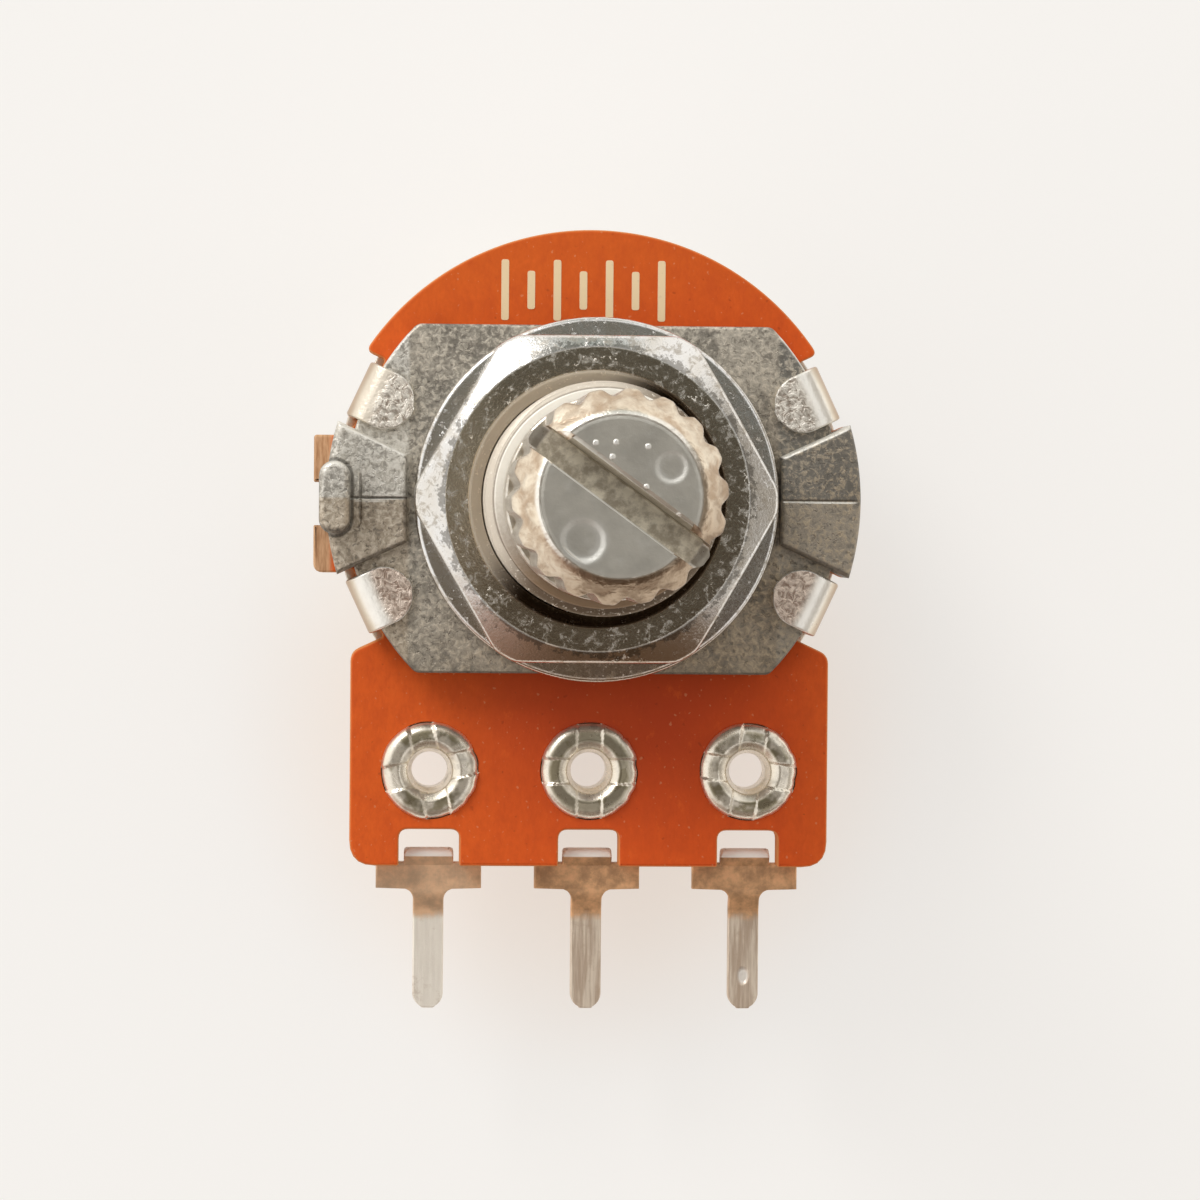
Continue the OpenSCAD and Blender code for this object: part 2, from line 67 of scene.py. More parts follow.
def length(name, millimetres, description):
    """Length that a user may change: its default is given in millimetres and kept in metres."""
    return FloatProperty(
        name=name, description=description, default=millimetres / MM, unit="LENGTH", precision=5
    )


def colour(name, rgb, description):
    """Colour in linear light."""
    return FloatVectorProperty(
        name=name, description=description, default=rgb, size=3, subtype="COLOR", min=0, max=1
    )


class CastingSettings(PropertyGroup):
    end_r: length("End radius", 7.7, "Radius of the plate's two round ends")
    flats: length("Flats", 10.8, "Distance across the plate's two flats")
    low_face: length("Low face", 0.5, "Depth of the low face under the ears")
    ear_r: length("Ear radius", 8.27, "Outer radius of the two raised ears")
    ear_gap: length("Ear gap", 11.55, "Distance between the ears' inner edges")
    thread_d: length("Thread", 7.0, "Outer diameter of the bushing's thread")
    thread_pitch: length("Thread pitch", 0.75, "Rise of the thread in one turn")
    thread_top: length("Bushing height", 6.0, "Height of the bushing over the panel's seat")
    bore_d: length("Bore", 4.54, "Diameter of the bushing's bore")
    lug_x: length("Lug place", 8.0, "Distance from the shaft's axis to the lug")
    lug_h: length("Lug height", 1.3, "Height of the lug over the panel's seat")
    lug_len: length("Lug length", 2.25, "Length of the lug across the ear")
    lug_w: length("Lug width", 0.95, "Thickness of the lug")
    zinc: colour("Zinc", (0.44, 0.40, 0.335), "Colour of the casting")
    worn: colour("Worn metal", (0.80, 0.74, 0.64), "Colour of the thread's worn flecks")


class FastenerSettings(PropertyGroup):
    flats: length("Flats", 10.0, "Distance across the nut's flats")
    bar_d: length("Bar", 11.15, "Diameter of the bar that the nut is turned from")
    face_d: length("Face", 9.3, "Diameter of the round face left by the chamfer")
    bore_d: length("Nut bore", 7.06, "Diameter of the nut's bore")
    washer_d: length("Washer", 11.3, "Outer diameter of the washer")
    washer_bore: length("Washer bore", 7.3, "Diameter of the washer's hole")
    washer_shift: length("Washer shift", 0.1, "How far the loose washer lies to one side")
    plating: colour("Plating", (0.80, 0.79, 0.77), "Colour of the nickel plating")


class ShaftSettings(PropertyGroup):
    head_d: length("Head", 6.0, "Diameter over the knurl")
    head_z: length("Head foot", 6.1, "Height of the head's foot over the panel's seat")
    knurl_z: length("Knurl foot", 8.1, "Height at which the knurl begins")
    top_z: length("Shaft length", 15.0, "Height of the shaft's end over the panel's seat")
    teeth: IntProperty(name="Teeth", description="Number of teeth of the knurl", default=18, min=6)
    tooth_depth: length("Tooth depth", 0.28, "Depth of the knurl's teeth")
    tip_d: length("Tip", 4.65, "Diameter of the flat end")
    tip_h: length("Tip chamfer", 0.75, "Height of the chamfer at the end")
    slot_w: length("Slot width", 0.78, "Width of the screwdriver slot")
    slot_depth: length("Slot depth", 1.2, "Depth of the screwdriver slot")
    slot_turn: FloatProperty(
        name="Slot direction", description="Direction of the slot from the X axis",
        default=math.radians(-36), subtype="ANGLE"
    )
    metal: colour("Aluminium", (0.60, 0.575, 0.51), "Colour of the turned metal")


class BoardSettings(PropertyGroup):
    round_r: length("Round end", 8.45, "Radius of the board's round end")
    width: length("Width", 15.0, "Width of the board's straight part")
    low: length("Lower edge", 11.5, "Distance from the shaft's axis to the lower edge")
    corner_r: length("Corner", 0.8, "Radius of the two lower corners")
    notch_w: length("Notch width", 1.9, "Width of the notches in the lower edge")
    notch_depth: length("Notch depth", 1.15, "Depth of the notches in the lower edge")
    channel: length("Channel", 2.4, "Width of the notches that the tabs lie in")
    set_back: length("Set-back", 7.9, "Distance from the shaft's axis to the edge behind the lug")
    prong: length("Prongs", 8.68, "Distance from the shaft's axis to the two prongs' ends")
    laminate: colour("Laminate", (0.65, 0.080, 0.009), "Colour of the phenolic board")
    ink: colour("Marks", (0.80, 0.62, 0.38), "Colour of the printed marks")


class ContactSettings(PropertyGroup):
    pitch: length("Pitch", 5.0, "Distance between neighbouring terminals")
    eyelet_y: length("Eyelet row", 8.5, "Distance from the shaft's axis to the eyelets")
    eyelet_d: length("Eyelet flange", 3.1, "Outer diameter of the eyelets' front flange")
    hole_d: length("Eyelet hole", 1.13, "Diameter of the eyelets' hole")
    funnel_d: length("Funnel", 1.85, "Diameter of the funnel at the front")
    sheet: length("Sheet", 0.4, "Thickness of the terminals' sheet")
    shoulder_w: length("Shoulder width", 3.33, "Width of the terminals' shoulders")
    shoulder_h: length("Shoulder height", 0.78, "Height of the shoulders below the board")
    pin_w: length("Pin width", 0.97, "Width of the solder pins")
    pin_low: length("Pin end", 16.1, "Distance from the shaft's axis to the pins' ends")
    tinned: colour("Tinned sheet", (0.56, 0.32, 0.165), "Colour of the terminals")
    bright: colour("Bright tin", (0.88, 0.81, 0.69), "Colour of the eyelets")


class CoverSettings(PropertyGroup):
    radius: length("Radius", 8.05, "Outer radius of the cover")
    flat: length("Flat", 6.3, "Distance from the shaft's axis to the flat side")
    sheet: length("Sheet", 0.3, "Thickness of the cover's sheet")
    edge: length("Drawn edge", 0.7, "Radius of the edge round the cover's back")
    tab_w: length("Tab width", 1.8, "Width of the folded tabs")
    tab_reach: length("Tab reach", 6.25, "Distance from the shaft's axis to the tabs' ends")
    tinplate: colour("Tinplate", (0.80, 0.72, 0.60), "Colour of the cover")


class StageSettings(PropertyGroup):
    floor: colour("Floor", (0.945, 0.925, 0.895), "Colour of the floor")
    size: length("Floor size", 700.0, "Side of the square floor")


# ---------------------------------------------------------------- surfaces

def unit(v):
    """Vectors scaled to length 1 along the last axis."""
    return v / np.maximum(np.linalg.norm(v, axis=-1, keepdims=True), 1e-12)


def slope(p, axis, closed):
    """Central differences of a grid of points along one axis, wrapped round where it closes."""
    if closed:
        return np.roll(p, -1, axis) - np.roll(p, 1, axis)
    return np.gradient(p, axis=axis)


def blend(a, b, t):
    """Straight mix of a and b, as t goes from 0 to 1."""
    return a + (b - a) * t


def ease(t):
    """Smooth step: 0 below 0, 1 above 1, and 3t^2 - 2t^3 between."""
    t = np.clip(t, 0, 1)
    return t * t * (3 - 2 * t)


def arc(x, y, r, start, end, count):
    """Points of a circle round (x, y) from one angle to another, in degrees."""
    a = np.radians(np.linspace(start, end, count))
    return np.stack((x + r * np.cos(a), y + r * np.sin(a)), -1)


def turned(points, degrees):
    """Points of the plane turned about the origin."""
    c, s = math.cos(math.radians(degrees)), math.sin(math.radians(degrees))
    return np.asarray(points, float) @ np.array([[c, s], [-s, c]])


def curve(p, corner, q, t):
    """Curve from p to q that heads for a corner between them:
    (1-t)^2 p + 2t(1-t) corner + t^2 q."""
    return (1 - t) ** 2 * p + 2 * t * (1 - t) * corner + t * t * q


def rounded(corners, radii, count=5):
    """Closed outline whose corners are rounded, each by a curve() whose ends lie on the
    corner's two sides, at the radius times the tangent of half the turn."""
    c = np.asarray(corners, float)
    before, after = unit(np.roll(c, 1, 0) - c), unit(np.roll(c, -1, 0) - c)
    half = np.arccos(np.clip(-(before * after).sum(-1), -1, 1)) / 2
    reach = (np.broadcast_to(radii, half.shape) * np.tan(half))[:, None]
    t = np.linspace(0, 1, count)[None, :, None]
    curves = curve((c + before * reach)[:, None], c[:, None], (c + after * reach)[:, None], t)
    return np.concatenate([k if r > 1e-9 else k[:1] for k, r in zip(curves, reach[:, 0])])


def mitre(outline):
    """Outward mitre at each point of a counterclockwise outline: the sum of the normals of
    its two sides over one plus their product."""
    side = unit(np.roll(outline, -1, 0) - outline)
    after = np.stack((side[:, 1], -side[:, 0]), -1)
    before = np.roll(after, 1, 0)
    return (before + after) / (1 + (before * after).sum(-1, keepdims=True))


def edge_rows(low, high, low_r, high_r):
    """Insets and heights of a wall with rounded edges: r(1 - sin a) in and r(1 - cos a) up,
    as a goes from 0 to a right angle."""
    a = np.linspace(0, QUARTER, 4)
    inset = np.concatenate((low_r * (1 - np.sin(a)), high_r * (1 - np.cos(a))))
    height = np.concatenate((low + low_r * (1 - np.cos(a)), high - high_r * (1 - np.sin(a))))
    return inset, height


def all_round(points, angles):
    """The same (radius, height) points at every angle."""
    return np.repeat(np.array(points, float)[:, None], len(angles), 1)


def rounded_rows(corners, radii, count=4):
    """Rounded profile for each column at once. Corner k is an array of (radius, height) over
    the columns, and is rounded by a curve() that starts and ends radii[k] along its two
    sides, or halfway along where a side is too short."""
    c = np.asarray(corners, float)
    sides = np.roll(c, 1, 0) - c, np.roll(c, -1, 0) - c
    t = np.linspace(0, 1, count)[:, None, None]
    rows = []
    for k, r in enumerate(radii):
        p, q = (
            c[k] + unit(side[k]) * np.minimum(r, np.linalg.norm(side[k], axis=-1)[:, None] / 2)
            for side in sides
        )
        rows.append(curve(p, c[k], q, t) if r else c[k][None])
    return np.concatenate(rows)


def linked(name, data):
    """New object in the scene."""
    made = bpy.data.objects.new(name, data)
    bpy.context.scene.collection.objects.link(made)
    return made


class Shell:
    """Closed surface in millimetres, gathered from grids and flat caps. Each point carries its
    own normal, and points that coincide are joined when the mesh is made."""

    def __init__(self):
        self.points, self.normals, self.faces, self.count = [], [], {3: [], 4: []}, 0

    def add(self, points, normals, faces):
        self.points.append(points.reshape(-1, 3))
        self.normals.append(unit(normals.reshape(-1, 3)))
        self.faces[faces.shape[-1]].append(faces + self.count)
        self.count += points.size // 3

    def grid(self, p, closed=(False, True), ends=(None, None)):
        """Quads over a grid of points. A normal is the cross product of the differences along
        its row and its column; the first and last rows may be given theirs."""
        n = np.cross(slope(p, 1, closed[1]), slope(p, 0, closed[0]))
        for row, end in zip((0, -1), ends):
            if end is not None:
                n[row] = end
        i = np.arange(p.shape[0] * p.shape[1]).reshape(p.shape[:2])
        if closed[1]:
            i = np.hstack((i, i[:, :1]))
        if closed[0]:
            i = np.vstack((i, i[:1]))
        quads = np.stack((i[:-1, :-1], i[:-1, 1:], i[1:, 1:], i[1:, :-1]), -1)
        self.add(p, n, quads.reshape(-1, 4))
        return self

    def cap(self, loops, normal):
        """Flat cap: the first loop is its outline, and the others are holes in it."""
        points = np.vstack(loops)
        made = np.array(tessellate_polygon([[Vector(p) for p in loop] for loop in loops]))
        a, b, c = (points[made[:, k]] for k in range(3))
        away = np.cross(b - a, c - a) @ np.asarray(normal, float) < 0
        made[away] = made[away][:, ::-1]
        self.add(points, np.tile(np.asarray(normal, float), (len(points), 1)), made)
        return self

    def slab(self, loops, low, high, low_r, high_r):
        """Sheet between two heights with rounded edges. The first loop runs counterclockwise
        round the sheet, and holes run clockwise. Each wall is the loop less its mitre times
        the inset of the edge."""
        inset, height = edge_rows(low, high, low_r, high_r)
        rims = ([], [])
        for loop in loops:
            flat = loop[None] - mitre(loop)[None] * inset[:, None, None]
            p = np.dstack((flat, np.broadcast_to(height[:, None, None], flat.shape[:2] + (1,))))
            self.grid(p, ends=((0, 0, -1), (0, 0, 1)))
            rims[0].append(p[0])
            rims[1].append(p[-1])
        return self.cap(rims[0], (0, 0, -1)).cap(rims[1], (0, 0, 1))

    def spin(self, profile, angles, caps=False):
        """Surface of (radius, height) rows round the Z axis: x = r cos a and y = r sin a."""
        r, z = profile[..., 0], profile[..., 1]
        p = np.stack((r * np.cos(angles), r * np.sin(angles), z), -1)
        if caps:
            self.grid(p)
            return self.cap([p[0]], (0, 0, -1)).cap([p[-1]], (0, 0, 1))
        return self.grid(p, closed=(True, True))

    def strip(self, path, across, half_w, half_t, corner, end_r):
        """Flat bar carried along a path: at each point a rectangle with round corners, its
        width along the vector across and its thickness square to both; the last rows shrink
        along a quarter circle to round the ends."""
        quarter = np.linspace(0, QUARTER, 4)
        path, across = np.asarray(path, float), np.asarray(across, float)
        t = unit(np.gradient(path, axis=0))
        sink = end_r * (1 - np.sin(quarter[:-1]))
        out = end_r * np.cos(quarter[:-1])[:, None]
        path = np.vstack((path[0] - t[0] * out, path, path[-1] + t[-1] * out[::-1]))
        half_w, half_t = (
            np.concatenate((k[0] - sink, k, k[-1] - sink[::-1]))[:, None]
            for k in (np.broadcast_to(half_w, len(t)), np.broadcast_to(half_t, len(t)))
        )
        t = np.vstack((np.tile(t[0], (3, 1)), t, np.tile(t[-1], (3, 1))))
        up = unit(np.cross(t, across))
        turn = np.concatenate([quarter + k * QUARTER for k in range(4)])
        side = np.repeat([[1, 1], [-1, 1], [-1, -1], [1, -1]], 4, axis=0)
        u = side[:, 0] * (half_w - corner) + corner * np.cos(turn)
        v = side[:, 1] * (half_t - corner) + corner * np.sin(turn)
        p = path[:, None] + across * u[..., None] + up[:, None] * v[..., None]
        self.grid(p, ends=(-t[0], t[-1]))
        return self.cap([p[0]], -t[0]).cap([p[-1]], t[-1])

    def place(self, x=0.0, y=0.0, turn=0.0):
        """Turns the surface about Z, in degrees, and then shifts it; normals only turn."""
        c, s = math.cos(math.radians(turn)), math.sin(math.radians(turn))
        rotation = np.array([[c, s, 0], [-s, c, 0], [0, 0, 1]])
        self.points = [p @ rotation + np.array([x, y, 0]) for p in self.points]
        self.normals = [n @ rotation for n in self.normals]
        return self

    def made(self, name, node, body, slot, finish):
        """The mesh as a piece that stands for a node of the frame and rides on its body.
        Corners that were joined leave a quad as a triangle, or leave nothing."""
        points, normals = np.vstack(self.points), np.vstack(self.normals)
        _, first, joined = np.unique(
            np.round(points, 5), axis=0, return_index=True, return_inverse=True
        )
        joined = joined.reshape(-1)
        corners = []
        for size, made in self.faces.items():
            if made:
                made = np.vstack(made)
                distinct = joined[made] != joined[np.roll(made, -1, 1)]
                count = distinct.sum(1)
                narrow = (count == 3) & (size == 4)
                corners.append(made[count == size])
                corners.append(made[narrow][distinct[narrow]].reshape(-1, 3))
        faces = [face for c in corners for face in joined[c].tolist()]
        mesh = bpy.data.meshes.new(name)
        mesh.from_pydata((points[first] / MM).tolist(), [], faces)
        mesh.shade_smooth()
        mesh.normals_split_custom_set(np.vstack([normals[c.reshape(-1)] for c in corners]).tolist())
        piece = linked(name, mesh)
        piece.data.materials.append(finish)
        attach(piece, body)
        if node:
            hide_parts(node)
        return piece


def carve(piece, cutter):
    """Cuts the cutter's shape out of the piece, and throws the cutter away."""
    cut = piece.modifiers.new("cut", "BOOLEAN")
    cut.operation, cut.object, cut.solver = "DIFFERENCE", cutter, "EXACT"
    bpy.context.view_layer.update()
    result = bpy.data.meshes.new_from_object(
        piece.evaluated_get(bpy.context.evaluated_depsgraph_get())
    )
    piece.modifiers.remove(cut)
    piece.data = result
    bpy.data.objects.remove(cutter)
    return piece


def ripple(angles, seed, waves=((3, 0.5), (7, 0.3), (13, 0.2))):
    """Smooth uneven line round a turn: a sum of sines whose phases come from the seed."""
    random = np.random.default_rng(seed)
    return sum(size * np.sin(n * angles + random.uniform(0, TURN)) for n, size in waves)


# ---------------------------------------------------------------- finishes

def tint(rgb, *shares):
    """Colour times one number, or each of its three parts times its own."""
    return np.multiply(rgb, shares)


class Value:
    """A socket that takes part in sums: each operator adds the Math node that it names."""

    def __init__(self, finish, socket):
        self.finish, self.socket = finish, socket

    def _math(self, operation, *terms):
        return self.finish.node("ShaderNodeMath", {"operation": operation}, *terms)

    def __add__(self, other):
        return self._math("ADD", self, other)

    def __sub__(self, other):
        return self._math("SUBTRACT", self, other)

    def __rsub__(self, other):
        return self._math("SUBTRACT", other, self)

    def __mul__(self, other):
        return self._math("MULTIPLY", self, other)

    def __truediv__(self, other):
        return self._math("DIVIDE", self, other)

    def __abs__(self):
        return self._math("ABSOLUTE", self)

    __radd__, __rmul__ = __add__, __mul__

    def high(self, other):
        """The higher of the two."""
        return self._math("MAXIMUM", self, other)

    def window(self, start, end):
        """0 at start, 1 at end, and a smooth step between."""
        return self.finish.node(
            "ShaderNodeMapRange", {"interpolation_type": "SMOOTHSTEP"}, self, start, end, 0.0, 1.0
        )


class Net:
    """The nodes of a material or a world: node() adds one and links it."""

    def __init__(self, owner, coordinates, scale):
        owner.use_nodes = True
        self.owner, self.nodes, self.links = owner, owner.node_tree.nodes, owner.node_tree.links
        self.nodes.clear()
        where = self.nodes.new("ShaderNodeTexCoord").outputs[coordinates]
        self.place = self.node("ShaderNodeVectorMath", {"operation": "SCALE"}, where, scale=scale)

    def node(self, kind, settings=None, *values, output=0, **named):
        """Adds a node: its settings first, then the values or links of its sockets, given in
        order or by name."""
        made = self.nodes.new(kind)
        for key, setting in (settings or {}).items():
            setattr(made, key, setting)
        pairs = list(enumerate(values)) + [
            (next(k for k, s in enumerate(made.inputs)
                  if s.name.lower().replace(" ", "_") == key and s.enabled), v)
            for key, v in named.items()
        ]
        for key, value in pairs:
            self.join(made.inputs[key], value)
        return Value(self, made.outputs[output])

    def join(self, socket, value):
        """Links a value to a socket, or sets the socket to a plain number or colour."""
        value = value.socket if isinstance(value, Value) else value
        if isinstance(value, bpy.types.NodeSocket):
            self.links.new(value, socket)
        elif hasattr(value, "__len__") and socket.type == "RGBA":
            socket.default_value = (*value[:3], 1.0)
        else:
            socket.default_value = value

    def part(self, axis, vector=None):
        """One part of a vector, by default of the place on the piece in millimetres."""
        return self.node(
            "ShaderNodeSeparateXYZ", None, vector or self.place, output="XYZ".index(axis)
        )

    def facing(self, axis="Z"):
        """One part of the surface's normal."""
        return self.part(axis, self.node("ShaderNodeNewGeometry", output=1))

    def at(self, x=0.0, y=0.0, z=0.0, stretch=(1.0, 1.0, 1.0)):
        """Place measured from a point, stretched along the axes."""
        return self.node(
            "ShaderNodeMapping", {"vector_type": "POINT"}, self.place,
            location=tuple(-a * b for a, b in zip((x, y, z), stretch)), scale=stretch
        )

    def size(self, vector):
        """Length of a vector."""
        return self.node("ShaderNodeVectorMath", {"operation": "LENGTH"}, vector, output=1)

    def reach(self, x=0.0, y=0.0, z=0.0, stretch=(1.0, 1.0, 0.0)):
        """Distance from a point, by default across the axis only."""
        return self.size(self.at(x, y, z, stretch))

    def noise(self, scale, detail=3.0, rough=0.55, vector=None, bend=0.0):
        """Cloudy noise from 0 to 1, with this many features to a millimetre."""
        return self.node(
            "ShaderNodeTexNoise", {"noise_dimensions": "3D"}, vector=vector or self.place,
            scale=scale, detail=detail, roughness=rough, distortion=bend
        )

    def mix(self, factor, a, b):
        """Mix of two colours."""
        made = self.nodes.new("ShaderNodeMix")
        made.data_type, made.clamp_factor = "RGBA", True
        for key, value in ((0, factor), (6, a), (7, b)):
            self.join(made.inputs[key], value)
        return Value(self, made.outputs[2])

    def coats(self, tone, *coats):
        """A colour under coats of (factor, colour), each mixed over what lies below it."""
        for factor, rgb in coats:
            tone = self.mix(factor, tone, rgb)
        return tone

    def bump(self, height, depth):
        """Normal from a height in units of this depth in millimetres."""
        return self.node("ShaderNodeBump", strength=1.0, distance=depth / MM, height=height)


class Finish(Net):
    """A material under construction: done() sets its shader."""

    def __init__(self, name):
        super().__init__(bpy.data.materials.new(name), "Object", MM)
        self.shader = self.nodes.new("ShaderNodeBsdfPrincipled")
        self.out = self.nodes.new("ShaderNodeOutputMaterial")
        self.links.new(self.shader.outputs[0], self.out.inputs[0])

    def done(self, **sockets):
        """Sets or links the shader's sockets by name, and gives the material."""
        for key, value in sockets.items():
            name = key.replace("_", " ").title().replace("Ior", "IOR")
            self.join(self.shader.inputs[name], value)
        return self.owner


def cast_zinc(rgb, seam=False):
    """Die-cast zinc: grey with a fine hammered grain, darker stains and lighter rubbed spots, and
    painted shade that makes it darker and browner towards the lower right. The right ear carries
    painted shade, darkest on its upper half; the left ear has painted light on its upper half and
    a painted warm reflection on its lower half. The ears' edges facing +Y carry a painted
    highlight, and edges facing -Y painted shade. The left ear has a seam along its middle, a short
    one across it, and one round the lug, each painted dark as shade in its groove, with a painted
    highlight beside the long seam."""
    f = Finish("cast_zinc_seamed" if seam else "cast_zinc")
    x, y, lean = f.part("X"), f.part("Y"), f.facing("Y")
    cloud = f.noise(0.8, 4.0, 0.6)
    grain = f.noise(5.5, 4.0, 0.7, bend=0.5)
    fine = f.noise(15.0, 3.0, 0.65)
    pit = f.noise(4.5, 3.0, 0.65).window(0.42, 0.34)
    # Painted shade: darker and browner towards the lower right; it also tints the rubbed spots.
    shade = (x * 0.7 - y).window(-3.0, 6.5)
    ears, left, upper = abs(x).window(5.65, 5.8), x.window(1, -1), y.window(-0.05, 0.05)
    tone = f.coats(
        f.mix(cloud.window(0.30, 0.72), tint(rgb, 0.55), tint(rgb, 1.25)),
        (shade * 0.6, tint(rgb, 0.50, 0.40, 0.29)),
        # Painted shade on the right ear, darkest on its upper half, and a painted warm reflection on the
        # left ear's lower half.
        (ears * x.window(-1, 1) * 0.6, f.mix(upper, (0.36, 0.325, 0.27), (0.13, 0.135, 0.13))),
        (ears * left * (1.0 - upper) * 0.4, (0.58, 0.45, 0.31)),
        (grain.window(0.46, 0.64) * 0.65, f.mix(shade, tint(rgb, 1.8), tint(rgb, 1.20, 1.05, 0.85))),
        (grain.window(0.46, 0.36) * 0.60, tint(rgb, 0.36)),
        (pit * 0.5, tint(rgb, 0.35)),
        # Painted highlight on the ears' edges facing +Y, painted shade on edges facing -Y, and painted
        # light on the left ear's upper half.
        (lean.window(0.15, 0.5) * ears * 0.7, (0.95, 0.93, 0.86)),
        (lean.window(-0.15, -0.5) * 0.6, tint(rgb, 0.25)),
        (ears * left * upper * (grain.window(0.4, 0.6) * 0.5 + 0.2), (0.80, 0.78, 0.72))
    )
    height = grain * 0.8 + fine * 0.15 + cloud * 0.4 - pit * 0.5
    if seam:
        wave, shown = y + f.noise(2.5, 2.0) * 0.04 - 0.02, x.window(-7.5, -7.3)
        along = abs(wave).window(0.055, 0.01) * shown
        across = abs(x + 7.22).window(0.06, 0.01) * abs(y).window(0.85, 0.6) * 0.7
        past = f.node("ShaderNodeCombineXYZ", None, x + 8.0, (abs(y) - 0.65).high(0.0))
        groove = along.high(across).high(abs(f.size(past) - 0.52).window(0.09, 0.02))
        glint = abs(wave + 0.10).window(0.05, 0.01) * shown * x.window(-6.2, -6.8)
        # The seams are painted dark as shade in their grooves; glint is a painted highlight beside the
        # long seam.
        tone = f.coats(tone, (groove * 0.75, tint(rgb, 0.22)), (glint * 0.6, (0.9, 0.88, 0.82)))
        height = height - groove * 0.4
    return f.done(
        base_color=tone, metallic=0.65, roughness=0.36 + fine * 0.15 + pit * 0.15,
        normal=f.bump(height, 0.035)
    )


def nickel(name, rgb, grain_depth, rough, mouth=0.0):
    """Nickel plating: bright, with a fine frosty grain, scattered pits and darker stains, and browner
    towards the bottom as a painted warm reflection. When mouth is given, the bore within that
    radius is painted dark as shade, with painted light on its upper left, where it is also less
    metallic, and the flat face is dark, painted lighter on the left."""
    f = Finish(name)
    x, y = f.part("X"), f.part("Y")
    grain = f.noise(13.0, 3.0, 0.65, bend=0.4)
    cloud = f.noise(1.1, 3.0, 0.5)
    stain = f.noise(3.4, 4.0, 0.7, bend=0.5).window(0.50, 0.64)
    fleck = f.noise(5.0, 4.0, 0.75, f.at(x=9)).window(0.60, 0.68)
    fleck = fleck * f.noise(0.7, 2.0).window(0.42, 0.62)
    # The lower side is browner, a painted warm reflection.
    tone = f.coats(
        rgb, (cloud.window(0.35, 0.75) * 0.5, (0.66, 0.60, 0.50)),
        (stain * 0.6, (0.34, 0.29, 0.22)), (y.window(-2.5, -5.5) * 0.6, (0.50, 0.34, 0.22))
    )
    metal = 1.0
    if mouth:
        # Painted shade inside the mouth, with painted light on its upper left.
        mouth_zone = f.reach().window(mouth, mouth - 0.25)
        lit = (y * 0.7 - x).window(0.0, 2.4)
        mouth_shading = f.mix(lit, (0.22, 0.17, 0.12), (0.80, 0.73, 0.62))
        level = f.facing().window(0.97, 0.99)
        # The flat face is dark, with painted light on its left side.
        face = f.mix(x.window(-2.6, -4.4), (0.42, 0.37, 0.29), (0.86, 0.78, 0.64))
        border = f.reach() + f.noise(2.2, 5.0, 0.75) * 1.8
        border = border.window(mouth + 1.65, mouth + 1.5) * (1.0 - level)
        tone = f.coats(
            tone, (mouth_zone, f.mix(fleck * 0.8, mouth_shading, (0.86, 0.82, 0.74))),
            (level * 0.85, f.mix(stain.high(fleck), face, (0.95, 0.92, 0.86))),
            (border * (1.0 - mouth_zone) * 0.75, (0.20, 0.185, 0.16))
        )
        metal = 1.0 - mouth_zone * (1.0 - level) * lit * 0.75
    return f.done(
        base_color=tone, metallic=metal, roughness=rough + grain * 0.10 + stain * 0.12 + fleck * 0.3,
        normal=f.bump(grain + cloud + fleck * 0.8, grain_depth)
    )


def worn_thread(rgb, top):
    """Bushing: a thread painted dark as shade under the nut, with painted light on its upper left and
    bright worn flecks, and a bright turned end, cream as a painted highlight on the side away from
    the pins and brown as painted shade on the other."""
    f = Finish("worn_thread")
    x, y, z = (f.part(axis) for axis in "XYZ")
    grain = f.noise(9.0, 4.0, 0.7)
    fleck = grain.window(0.56, 0.66)
    end = z.window(top - 0.10, top - 0.03)
    # Painted light on the thread's upper left; elsewhere the thread is painted dark as shade.
    bright = (y * 0.7 - x).window(0.0, 2.4) * (1.0 - end)
    wall = f.mix(fleck, f.mix(bright, (0.20, 0.155, 0.11), (0.68, 0.61, 0.51)), rgb)
    # Painted highlight on the end's upper left and painted brown shade on its lower right.
    lit = (y - x * 0.5 + grain * 1.6).window(-1.0, 3.2)
    face = f.coats(
        f.mix(lit, (0.30, 0.20, 0.12), (1.0, 0.96, 0.87)),
        (abs(f.reach() - 3.30).window(0.07, 0.02) * 0.75, (0.20, 0.14, 0.09))
    )
    return f.done(
        base_color=f.mix(end, wall, face), metallic=0.75 - end * 0.5 - bright * 0.45,
        roughness=0.38 + fleck * 0.1, normal=f.bump(grain, 0.012)
    )


MARKS = ((-1.05, -1.22, 0.62), (1.36, 0.82, 0.44))
DOTS = ((-0.72, 1.47), (-0.16, 1.49), (0.72, 1.38), (-0.26, 1.09), (0.68, 0.27), (1.57, -0.50))


